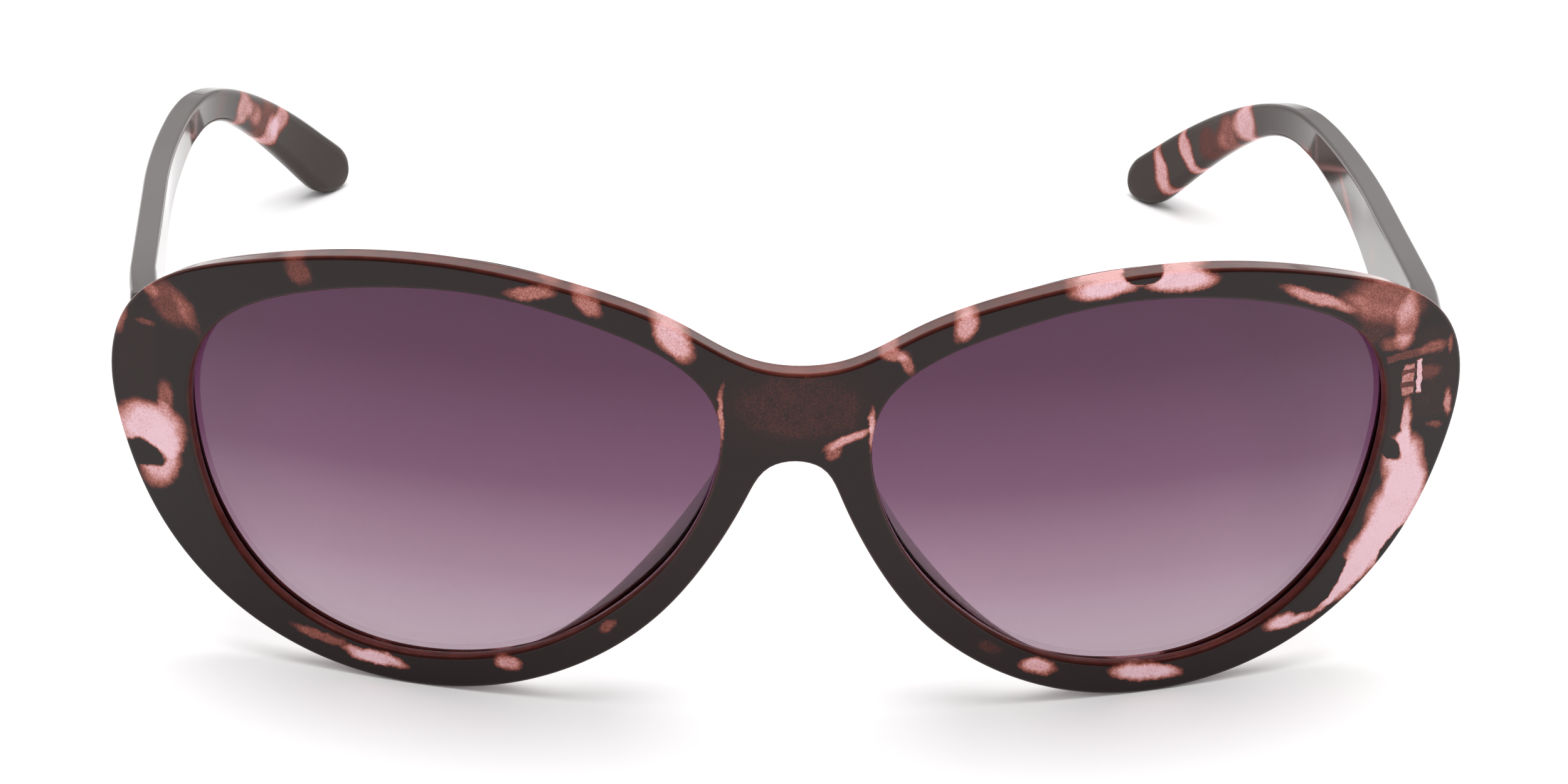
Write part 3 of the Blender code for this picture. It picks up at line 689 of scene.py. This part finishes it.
def outer_barrels():
    """Heights (low, high) of the front hinge's two barrels about the hinge's middle."""
    near = MIDDLE_BARREL / 2 + BARREL_GAP
    far = near + OUTER_BARREL
    return [(-far, -near), (near, far)]


def build_front_hinge(side, name, material):
    """Plate set in the back of the front, with the outer two barrels."""
    plate = front_plate_frame()
    low = (-PLATE_WIDTH / 2, -PLATE_SINK - PLATE_THICKNESS, -PLATE_HEIGHT / 2)
    high = (PLATE_WIDTH / 2, -PLATE_SINK, PLATE_HEIGHT / 2)
    hinge = hinge_box(name, side, material, low, high, plate, PLATE_BEVEL)
    axis = plate.inverted() @ hinge_axis(1)
    root = -PLATE_SINK - PLATE_THICKNESS / 2
    for bottom, top in outer_barrels():
        low = (axis.x - NECK_WIDTH / 2, root, bottom + NECK_INSET)
        high = (axis.x + NECK_WIDTH / 2, axis.y - BARREL_BORE - NECK_INSET, top - NECK_INSET)
        join(hinge, hinge_box("neck", side, material, low, high, plate, BARREL_BEVEL))
        join(hinge, hinge_barrel(side, material, bottom, top))
    return hinge


def build_temple_hinge(side, name, material):
    """Plate let into the temple's inner face, with the middle barrel."""
    axis = Matrix.Translation(hinge_axis(1))
    inner = temple_face() - TEMPLE_PLATE_PROUD
    start = TEMPLE_PLATE_START
    tall = TEMPLE_PLATE_HEIGHT / 2
    low = (inner, start, -tall)
    high = (inner + PLATE_THICKNESS, start + TEMPLE_PLATE_LENGTH, tall)
    hinge = hinge_box(name, side, material, low, high, axis, PLATE_BEVEL)
    half = MIDDLE_BARREL / 2
    low = (BARREL_BORE + 2 * NECK_INSET, -NECK_WIDTH / 4, NECK_INSET - half)
    high = (temple_face(), start + ARM_LAP, half - NECK_INSET)
    join(hinge, hinge_box("arm", side, material, low, high, axis, BARREL_BEVEL))
    join(hinge, hinge_barrel(side, material, -half, half))
    return hinge


def build_screw(side, name, material):
    """The hinge's screw: a shaft through the barrels and a domed, slotted head."""
    bottom = outer_barrels()[0][0] - BARREL_GAP
    seat = outer_barrels()[1][1] + BARREL_GAP
    top = seat + SCREW_HEAD_HEIGHT
    profile = [
        (SCREW_RADIUS - SCREW_BEVEL, bottom), (SCREW_RADIUS, bottom + SCREW_BEVEL),
        (SCREW_RADIUS, seat), (SCREW_HEAD_RADIUS - SCREW_BEVEL, seat),
        (SCREW_HEAD_RADIUS, seat + SCREW_BEVEL),
    ]
    for k in range(SCREW_STEPS):
        theta = math.pi / 2 * k / SCREW_STEPS
        radius = SCREW_HEAD_RADIUS * (SCREW_FLAT + (1.0 - SCREW_FLAT) * math.cos(theta))
        profile.append((radius, top - SCREW_DOME * (1.0 - math.sin(theta))))
    bm = bmesh.new()
    turned(bm, profile, hinge_axis(side), capped=True)
    screw = mesh_object(name, bm, material, 30.0)
    reach = SCREW_HEAD_RADIUS + SCREW_BEVEL
    low = (-reach, -SLOT_WIDTH / 2, top - SLOT_DEPTH)
    high = (reach, SLOT_WIDTH / 2, top + SLOT_DEPTH)
    turn = Matrix.Translation(hinge_axis(1)) @ Matrix.Rotation(SLOT_TURN, 4, "Z")
    cut(screw, hinge_box("slot", side, material, low, high, turn, 0.0))
    return screw


# --------------------------------------------------------------- materials

class Nodes:
    """Short calls for building the node tree of a new material or world."""

    def __init__(self, owner, shader="Principled BSDF"):
        owner.use_nodes = True
        self.owner = owner
        self.tree = owner.node_tree
        self.shader = self.tree.nodes[shader]

    def add(self, kind, *inputs, **settings):
        """A node with its settings, its first inputs filled or linked in order."""
        node = self.tree.nodes.new(f"ShaderNode{kind}")
        for key, value in settings.items():
            setattr(node, key, value)
        for socket, value in zip(node.inputs, inputs):
            self.feed(socket, value)
        return node

    def feed(self, socket, value):
        """Link an output to a socket, or set the socket's own value."""
        if value is None:
            return
        if isinstance(value, bpy.types.NodeSocket):
            self.tree.links.new(value, socket)
        else:
            socket.default_value = value

    def math(self, operation, *inputs):
        """The result of a Math node."""
        return self.add("Math", *inputs, operation=operation).outputs[0]

    def clamped(self, operation, *inputs):
        """The result of a Math node, kept between 0 and 1."""
        return self.add("Math", *inputs, operation=operation, use_clamp=True).outputs[0]

    def blend(self, factor, first, second):
        """A value between two others."""
        return self.add("Mix", factor, None, first, second, data_type="FLOAT").outputs[0]

    def blend_colors(self, factor, first, second):
        """A colour between two others."""
        node = self.add("Mix", factor, data_type="RGBA")
        self.feed(node.inputs[6], first)
        self.feed(node.inputs[7], second)
        return node.outputs[2]

    def noise(self, vector, scale, detail=2.0, roughness=0.5):
        """A Noise node at a scale given per millimetre."""
        node = self.add("TexNoise", vector)
        node.inputs["Scale"].default_value = scale / MM
        node.inputs["Detail"].default_value = detail
        node.inputs["Roughness"].default_value = roughness
        return node

    def ramp(self, factor, stops):
        """A ramp with (place, grey level or colour in sRGB 0 to 255) stops."""
        node = self.add("ValToRGB", factor)
        elements = node.color_ramp.elements
        while len(elements) < len(stops):
            elements.new(0.5)
        for element, (place, value) in zip(elements, stops):
            color = [value] * 3 if isinstance(value, float) else [linear(c) for c in value]
            element.position = place
            element.color = (*color, 1.0)
        return node.outputs["Color"]

    def set(self, **values):
        """Fill or link the shader's sockets."""
        for key, value in values.items():
            self.feed(self.shader.inputs[key.replace("_", " ")], value)


def linear(value):
    """One sRGB channel, 0 to 255, as a linear value."""
    value /= 255.0
    return value / 12.92 if value <= 0.04045 else ((value + 0.055) / 1.055) ** 2.4


# Colours of the resin, from the dark (0) to the clear (1)
TORTOISE_RAMP = [
    (0.0, (26, 13, 12)),
    (0.08, (33, 15, 14)),
    (0.16, (84, 38, 32)),
    (0.26, (124, 66, 55)),
    (0.38, (166, 102, 92)),
    (0.56, (204, 150, 150)),
    (0.85, (226, 188, 198)),
]
TEMPLE_RAMP = [(0.0, (60, 51, 48)), (0.08, (64, 53, 50))] + TORTOISE_RAMP[2:]
# Painted light: the rims' walls get their own copy of the colours, as if lit through the resin,
# redder and brighter where the resin is dark
PAINTED_WALL_LIGHT_RAMP = [
    (0.0, (48, 16, 13)),
    (0.12, (88, 36, 28)),
    (0.22, (112, 54, 44)),
    (0.42, (148, 88, 78)),
    (0.80, (205, 152, 150)),
]

WALL_CLOUDS = 0.22            # how much the clouds brighten the walls
# the outer walls read the walls' painted light this much lower on its ramp, so they come out a
# little darker than the inner walls
OUTER_WALL_SHIFT = -0.03
CLOUDS = 0.4                  # how far clouds and grains shift the clearness
GRAINS = 1.2

# Patches of the front: (along the bow, up the front, half length, half width, tilt in
# degrees, strength). Strength below zero is a dark inclusion.
FRONT_PATCHES = [
    (-72.2, 25.0, 5.4, 4.2, 8, 0.8), (-70.8, 21.4, 4.6, 2.9, 75, 0.66),
    (-72.7, 21.7, 2.9, 1.8, -12, -1.4),
    (-69.6, 41.6, 4.2, 3.0, -55, 0.2), (-67.0, 40.6, 4.2, 1.2, -62, 0.12),
    (-70.0, 29.8, 1.4, 2.6, 0, 0.28), (-54.3, 49.8, 2.6, 1.9, -55, 0.2),
    (-28.9, 51.8, 3.6, 1.0, 6, 0.36), (-22.6, 51.2, 2.5, 1.4, -45, 0.38),
    (-13.6, 47.8, 4.2, 1.8, -55, 0.66), (-8.2, 38.0, 5.4, 0.4, 88, 0.35),
    (-45.2, 2.5, 4.2, 1.0, -7, 0.8), (-51.5, 3.9, 4.6, 0.9, -16, 0.27),
    (-30.3, 4.6, 1.9, 1.2, -10, 0.5), (-19.4, 10.8, 1.7, 0.9, 40, 0.24),
    (0.0, 39.7, 12.0, 7.0, 0, 0.1), (5.4, 35.7, 3.4, 0.75, 28, 0.45),
    (3.9, 33.8, 1.3, 0.9, 60, 0.28), (7.9, 37.0, 3.4, 0.45, 92, 0.5),
    (9.8, 46.4, 2.3, 1.1, -12, 0.36), (11.4, 44.9, 1.8, 0.8, -60, 0.34),
    (17.4, 49.4, 2.5, 1.4, 74, 0.52), (32.3, 52.9, 4.6, 1.7, 8, 0.78),
    (40.6, 52.7, 5.2, 1.7, -6, 0.8), (36.6, 53.9, 2.4, 1.2, 0, -1.6),
    (57.0, 47.4, 6.0, 1.0, -28, 0.5), (61.8, 45.4, 3.6, 1.6, -45, 0.2),
    (66.4, 45.2, 6.8, 3.4, -33, 0.29), (65.2, 41.9, 3.8, 3.0, -12, 0.12),
    (68.9, 41.2, 4.2, 1.8, 88, 0.3), (70.0, 28.0, 4.2, 1.2, 92, 0.62),
    (70.3, 22.6, 5.4, 3.3, 98, 0.85), (69.6, 17.6, 5.6, 4.0, 65, 0.88),
    (66.8, 13.0, 5.6, 2.9, 58, 0.88), (63.9, 9.3, 3.8, 1.8, 50, 0.75),
    (68.3, 25.4, 2.3, 1.1, -60, -1.6), (66.0, 22.4, 2.6, 1.0, 86, -1.0),
    (69.6, 12.5, 3.0, 1.1, 52, -1.6), (60.6, 9.2, 4.7, 1.7, 48, -1.8),
    (57.0, 6.0, 3.6, 1.3, 10, 0.8), (62.0, 7.4, 3.6, 0.7, 42, 0.5),
    (27.6, 5.2, 2.9, 1.3, -15, 0.6), (22.2, 8.2, 2.8, 1.2, -35, 0.1),
    (40.1, 2.6, 5.0, 1.3, -9, 0.85),
]
# The dark temple ends and the hinge that show through the clear resin:
# (along the bow, up the front, half length, half width, tilt, value taken)
SEEN_THROUGH = [
    (-73.6, 34.2, 2.6, 6.3, 0, 0.055),
    (73.4, 34.0, 3.0, 6.4, 3, 0.075),
    (67.8, 31.6, 1.7, 4.7, 2, 0.05),
    (69.2, 37.1, 2.7, 0.55, 3, 0.18),
    (69.8, 33.9, 0.8, 2.1, 2, 0.42),
    (69.8, 34.9, 1.0, 0.35, 2, 0.16),
    (69.8, 33.2, 1.0, 0.35, 2, 0.16),
    (71.2, 34.0, 0.36, 2.25, 2, 0.72),
]
# Painted highlights: bright glints laid on the clear resin in front of them
PAINTED_GLINTS = [
    (67.9, 39.0, 2.6, 1.3, -10, 0.24), (72.7, 37.2, 2.2, 1.0, 5, 0.2),
    (75.4, 29.4, 2.2, 0.6, 96, 0.35), (73.9, 26.9, 1.5, 0.6, -20, 0.22),
    (75.0, 37.0, 1.6, 0.4, 88, 0.2), (72.6, 34.0, 1.6, 1.2, 0, 0.1),
    (-75.6, 38.0, 2.6, 0.9, 78, 0.22), (-72.0, 42.6, 1.6, 1.0, -40, 0.2),
    (-72.5, 38.2, 1.6, 0.5, 0, 0.14),
]
# Patches of the temples: (back, up, half length, half height, tilt, strength)
TEMPLE_PATCHES = {
    "left": [
        (54.8, 17.6, 3.0, 2.4, -35, 0.5), (57.2, 15.9, 1.7, 2.2, -10, 0.3),
        (62.8, 13.0, 3.2, 1.7, -40, 0.5), (60.6, 11.8, 1.6, 2.8, 15, 0.5),
        (59.8, 14.0, 4.4, 3.4, -40, 0.2), (48.0, 20.5, 4.0, 1.6, -35, 0.12),
        (-51.0, 30.6, 6.5, 3.2, 15, 0.4), (-31.0, 30.2, 5.0, 2.2, -14, 0.25),
        (-8.0, 27.6, 4.0, 1.8, -12, 0.45), (30.0, 22.2, 5.0, 1.5, -10, 0.2),
    ],
    "right": [
        (55.4, 17.2, 3.0, 3.4, 20, 0.66), (58.6, 14.4, 2.4, 3.4, 10, 0.28),
        (64.8, 9.0, 1.2, 4.4, 35, 0.62), (67.6, 5.2, 1.2, 4.2, 30, 0.62),
        (61.4, 11.8, 3.4, 3.4, 0, 0.16), (14.0, 25.2, 9.0, 1.2, -8, 0.3),
        (-50.0, 31.2, 6.0, 3.4, -20, 0.45), (-26.0, 29.6, 6.0, 2.0, -10, 0.3),
        (-9.0, 28.6, 3.0, 1.6, 30, 0.2), (37.0, 21.0, 4.0, 1.4, -8, 0.2),
    ],
}


THROUGH = 1.0e3               # a patch runs right through its piece
CLEAREST = 0.88
PATCH_GAIN = 1.9              # how steep the edges of patches, inclusions and blocks are
INCLUSION_GAIN = 2.2
BLOCK_GAIN = 7.0


def on_front(patches):
    """Patches given on the flat front, moved to where they lie on the bowed one."""
    moved = []
    for u, w, length, width, tilt, strength in patches:
        point = front_point(u, w, 0.0)
        squeeze = math.cos(u / BOW_RADIUS)
        lengthwise = abs(math.cos(math.radians(tilt)))
        long_side = length * (1.0 - (1.0 - squeeze) * lengthwise)
        short_side = width * (1.0 - (1.0 - squeeze) * (1.0 - lengthwise))
        moved.append((point.x, point.z, long_side, short_side, tilt, strength))
    return moved


def local_place(nodes, place, patch, across):
    """Coordinates that run from -1 to 1 over a patch; across is the axis it spans freely."""
    a, z, length, width, tilt, _ = patch
    turn = -math.radians(tilt)
    if across == "Y":
        settings = ((a * MM, 0.0, z * MM), (0.0, turn, 0.0), (length * MM, THROUGH, width * MM))
    else:
        settings = ((0.0, a * MM, z * MM), (turn, 0.0, 0.0), (THROUGH, length * MM, width * MM))
    return nodes.add("Mapping", place, *settings, vector_type="TEXTURE").outputs[0]


def add_patches(nodes, place, patches, across, total=None):
    """The patches' strengths added up, less the dark inclusions, as one value."""
    for patch in patches:
        strength = patch[-1]
        local = local_place(nodes, place, patch, across)
        cone = nodes.add("TexGradient", local, gradient_type="SPHERICAL").outputs["Fac"]
        if strength > 0.0:
            value = nodes.math("MULTIPLY", cone, PATCH_GAIN * strength)
            value = nodes.math("MINIMUM", value, strength)
            total = value if total is None else nodes.math("ADD", total, value)
        else:
            dark = nodes.clamped("MULTIPLY", cone, INCLUSION_GAIN)
            total = nodes.math("MULTIPLY_ADD", dark, strength, total)
    return nodes.math("MINIMUM", nodes.math("MAXIMUM", total, 0.0), CLEAREST)


def add_blocks(nodes, place, blocks, total):
    """Soft-edged rectangles that take the place of what lies under them."""
    for block in blocks:
        local = local_place(nodes, place, block, "Y")
        axes = nodes.add("SeparateXYZ", local)
        sideways = nodes.math("ABSOLUTE", axes.outputs["X"])
        upright = nodes.math("ABSOLUTE", axes.outputs["Z"])
        reach = nodes.math("MAXIMUM", sideways, upright)
        inside = nodes.math("SUBTRACT", 1.0, reach)
        mask = nodes.clamped("MULTIPLY", inside, BLOCK_GAIN)
        total = nodes.blend(mask, total, block[-1])
    return total


def wobble(nodes, place, size, scale):
    """A place shifted by noise: size in millimetres, scale per millimetre."""
    noise = nodes.noise(place, scale, 3.0)
    centred = nodes.add("VectorMath", noise.outputs["Color"], (0.5, 0.5, 0.5),
                        operation="SUBTRACT")
    scaled = nodes.add("VectorMath", centred.outputs[0], operation="SCALE")
    scaled.inputs["Scale"].default_value = size * MM
    return nodes.add("VectorMath", place, scaled.outputs[0], operation="ADD").outputs[0]


def speckle(nodes, place, value):
    """Cloudy and grainy variation, stronger the clearer the resin, and the clouds alone."""
    cloud = nodes.noise(place, 0.45, 3.0, 0.6).outputs["Fac"]
    grain = nodes.noise(place, 5.0, 3.0, 0.75).outputs["Fac"]
    room = nodes.clamped("MULTIPLY_ADD", value, 1.2, 0.05)
    clouds = nodes.math("MULTIPLY", nodes.math("SUBTRACT", cloud, 0.5), room)
    grains = nodes.math("MULTIPLY", nodes.math("SUBTRACT", grain, 0.5), room)
    value = nodes.math("MULTIPLY_ADD", clouds, CLOUDS, value)
    return nodes.math("MULTIPLY_ADD", grains, GRAINS, value), cloud


def finish_plastic(nodes, place, color, cloud, specular):
    """Polished surface with the slight waviness of moulded and tumbled resin."""
    waves = nodes.noise(place, 0.22, 2.0).outputs["Fac"]
    bump = nodes.add("Bump")
    bump.inputs["Strength"].default_value = 0.04
    bump.inputs["Distance"].default_value = 0.1 * MM
    nodes.feed(bump.inputs["Height"], waves)
    roughness = nodes.math("MULTIPLY_ADD", cloud, 0.05, 0.04)
    nodes.set(Base_Color=color, Roughness=roughness, Normal=bump.outputs["Normal"])
    nodes.shader.inputs["IOR"].default_value = 1.46
    nodes.shader.inputs["Specular IOR Level"].default_value = specular
    return nodes.owner


def front_plastic():
    """Glossy plastic, nearly black with rose and pink patches of clearer resin.

    The patches are wavy at two sizes; the hinge that shows through them is straighter.
    """
    nodes = Nodes(bpy.data.materials.new("tortoise_front_plastic"))
    place = nodes.add("TexCoord").outputs["Object"]
    bent = wobble(nodes, wobble(nodes, place, 1.3, 0.3), 0.5, 1.5)
    value = add_patches(nodes, bent, on_front(FRONT_PATCHES), "Y")
    steady = wobble(nodes, wobble(nodes, place, 0.6, 0.5), 0.4, 1.6)
    value = add_blocks(nodes, steady, on_front(SEEN_THROUGH), value)
    # Painted highlights: the glints laid over the patches and the blocks
    value = add_patches(nodes, bent, on_front(PAINTED_GLINTS), "Y", value)
    value, cloud = speckle(nodes, place, value)
    face = nodes.ramp(value, TORTOISE_RAMP)
    # Painted light: the walls take the lit wall colours in place of the face's, the outer walls a
    # little darker
    share = nodes.add("Attribute", attribute_name="wall_light_share").outputs["Fac"]
    outer = nodes.clamped("SUBTRACT", share, 1.0)
    value = nodes.math("MULTIPLY_ADD", outer, OUTER_WALL_SHIFT, value)
    wall = nodes.ramp(nodes.math("MULTIPLY_ADD", cloud, WALL_CLOUDS, value), PAINTED_WALL_LIGHT_RAMP)
    return finish_plastic(nodes, place, nodes.blend_colors(share, face, wall), cloud, 0.3)


def temple_plastic(label):
    """The temples' plastic: the same resin, browner, with a few clear bands."""
    nodes = Nodes(bpy.data.materials.new(f"tortoise_temple_plastic_{label}"))
    place = nodes.add("TexCoord").outputs["Object"]
    bent = wobble(nodes, place, 1.4, 0.3)
    value = add_patches(nodes, bent, TEMPLE_PATCHES[label], "X")
    value, cloud = speckle(nodes, place, value)
    return finish_plastic(nodes, place, nodes.ramp(value, TEMPLE_RAMP), cloud, 0.2)


def lens_tint():
    """Clear plastic, plum at the top and fading to a pale mauve at the bottom."""
    nodes = Nodes(bpy.data.materials.new("lens_gradient"))
    place = nodes.add("TexCoord").outputs["Object"]
    height = nodes.add("SeparateXYZ", place).outputs["Z"]
    share = nodes.add("MapRange", height, 3.0 * MM, 51.0 * MM).outputs["Result"]
    color = nodes.ramp(share, [
        (0.0, (182, 165, 175)), (0.25, (146, 117, 136)), (0.5, (102, 65, 92)),
        (0.8, (72, 29, 61)), (1.0, (63, 18, 52)),
    ])
    nodes.set(Base_Color=color)
    nodes.shader.inputs["Roughness"].default_value = 0.0
    nodes.shader.inputs["IOR"].default_value = 1.45
    nodes.shader.inputs["Transmission Weight"].default_value = 1.0
    return nodes.owner


def metal(name, color, roughness):
    """Satin metal with fine drawn lines."""
    nodes = Nodes(bpy.data.materials.new(name))
    place = nodes.add("TexCoord").outputs["Object"]
    squeezed = nodes.add("Mapping", place, None, None, (1.0, 1.0, 12.0)).outputs[0]
    lines = nodes.noise(squeezed, 4.0, 3.0).outputs["Fac"]
    tone = nodes.ramp(lines, [(0.3, tuple(0.85 * c for c in color)), (0.7, color)])
    rough = nodes.math("MULTIPLY_ADD", lines, 0.15, roughness)
    nodes.set(Base_Color=tone, Roughness=rough)
    nodes.shader.inputs["Metallic"].default_value = 1.0
    return nodes.owner


# ------------------------------------------------------------------- stage

def make_floor():
    """A plain pale tabletop."""
    bm = bmesh.new()
    bmesh.ops.create_grid(bm, x_segments=8, y_segments=8, size=FLOOR_REACH)
    nodes = Nodes(bpy.data.materials.new("pale_table"))
    place = nodes.add("TexCoord").outputs["Object"]
    cloud = nodes.noise(place, 0.004, 2.0)
    color = nodes.ramp(cloud.outputs["Fac"], [(0.0, (250, 249, 249)), (1.0, (253, 252, 252))])
    nodes.set(Base_Color=color)
    nodes.shader.inputs["Roughness"].default_value = 0.6
    nodes.shader.inputs["Specular IOR Level"].default_value = 0.2
    floor = mesh_object("floor", bm, nodes.owner)


def area_light(name, place, target, size, power):
    """A soft square light at a place in metres, turned to a target, not seen in gloss."""
    light = bpy.data.lights.new(name, "AREA")
    light.shape = "SQUARE"
    light.size = size
    light.energy = power
    lamp = bpy.data.objects.new(name, light)
    lamp.location = place
    lamp.rotation_euler = (Vector(target) - Vector(place)).to_track_quat("-Z", "Y").to_euler()
    lamp.visible_glossy = False
    bpy.context.scene.collection.objects.link(lamp)


def make_world():
    """A studio that is bright low down behind the table and dim in front and overhead."""
    nodes = Nodes(bpy.data.worlds.new("studio"), "Background")
    direction = nodes.add("TexCoord").outputs["Generated"]
    axes = nodes.add("SeparateXYZ", direction).outputs
    behind = nodes.add("MapRange", axes["Y"], *BACK_BEGINS, interpolation_type="SMOOTHSTEP")
    front = nodes.ramp(axes["Z"], FRONT_LEVELS)
    back = nodes.ramp(axes["Z"], BACK_LEVELS)
    around = nodes.blend_colors(behind.outputs["Result"], front, back)
    camera_ray = nodes.add("LightPath").outputs["Is Camera Ray"]
    seen = (SEEN_LEVEL, SEEN_LEVEL, SEEN_LEVEL, 1.0)
    nodes.set(Color=nodes.blend_colors(camera_ray, around, seen), Strength=WORLD_STRENGTH)
    bpy.context.scene.world = nodes.owner


def make_lights():
    """The studio's surround, a broad soft light overhead and a weaker one in front."""
    make_world()
    area_light("overhead", (0.0, 0.0, 1.2), (0.0, 0.0, 0.0), 1.2, 17.0)
    area_light("front_fill", (0.0, -1.1, 0.7), (0.0, 0.0, 0.02), 1.6, 9.5)


def make_camera():
    """A long lens a little left of the middle, looking down at the front."""
    data = bpy.data.cameras.new("camera")
    data.lens = CAMERA_LENS
    data.clip_start = 0.01
    data.clip_end = 50.0
    camera = bpy.data.objects.new("camera", data)
    turn = Euler([math.radians(angle) for angle in CAMERA_ANGLES])
    camera.matrix_world = Matrix.LocRotScale(Vector(CAMERA_PLACE) * MM, turn, None)
    bpy.context.scene.collection.objects.link(camera)
    bpy.context.scene.camera = camera


# ------------------------------------------------------------------- build

def main():
    """Everything the scene shows."""
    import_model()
    bpy.context.scene.view_settings.view_transform = "Standard"
    make_camera()
    make_lights()
    make_floor()

    def add(piece, body, node):
        """Hang a piece on its body in place of a CAD node."""
        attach(piece, body)
        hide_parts(node)

    add(build_front(front_plastic()), "front", "front_frame")
    tint = lens_tint()
    nickel = metal("hinge_nickel", (190, 180, 168), 0.3)
    steel = metal("screw_steel", (200, 200, 204), 0.22)
    for label, side in SIDES.items():
        body = f"{label}_temple"
        add(build_lens(side, f"tinted_lens_{label}", tint), "front", f"lens_{label}")
        add(build_temple(side, f"tortoise_temple_{label}", temple_plastic(label)), body,
            f"temple_{label}")
        add(build_front_hinge(side, f"front_barrels_{label}", nickel), "front",
            f"front_hinge_{label}")
        add(build_temple_hinge(side, f"temple_barrel_{label}", nickel), body,
            f"temple_hinge_{label}")
        add(build_screw(side, f"slotted_screw_{label}", steel), "front",
            f"hinge_screw_{label}")


main()
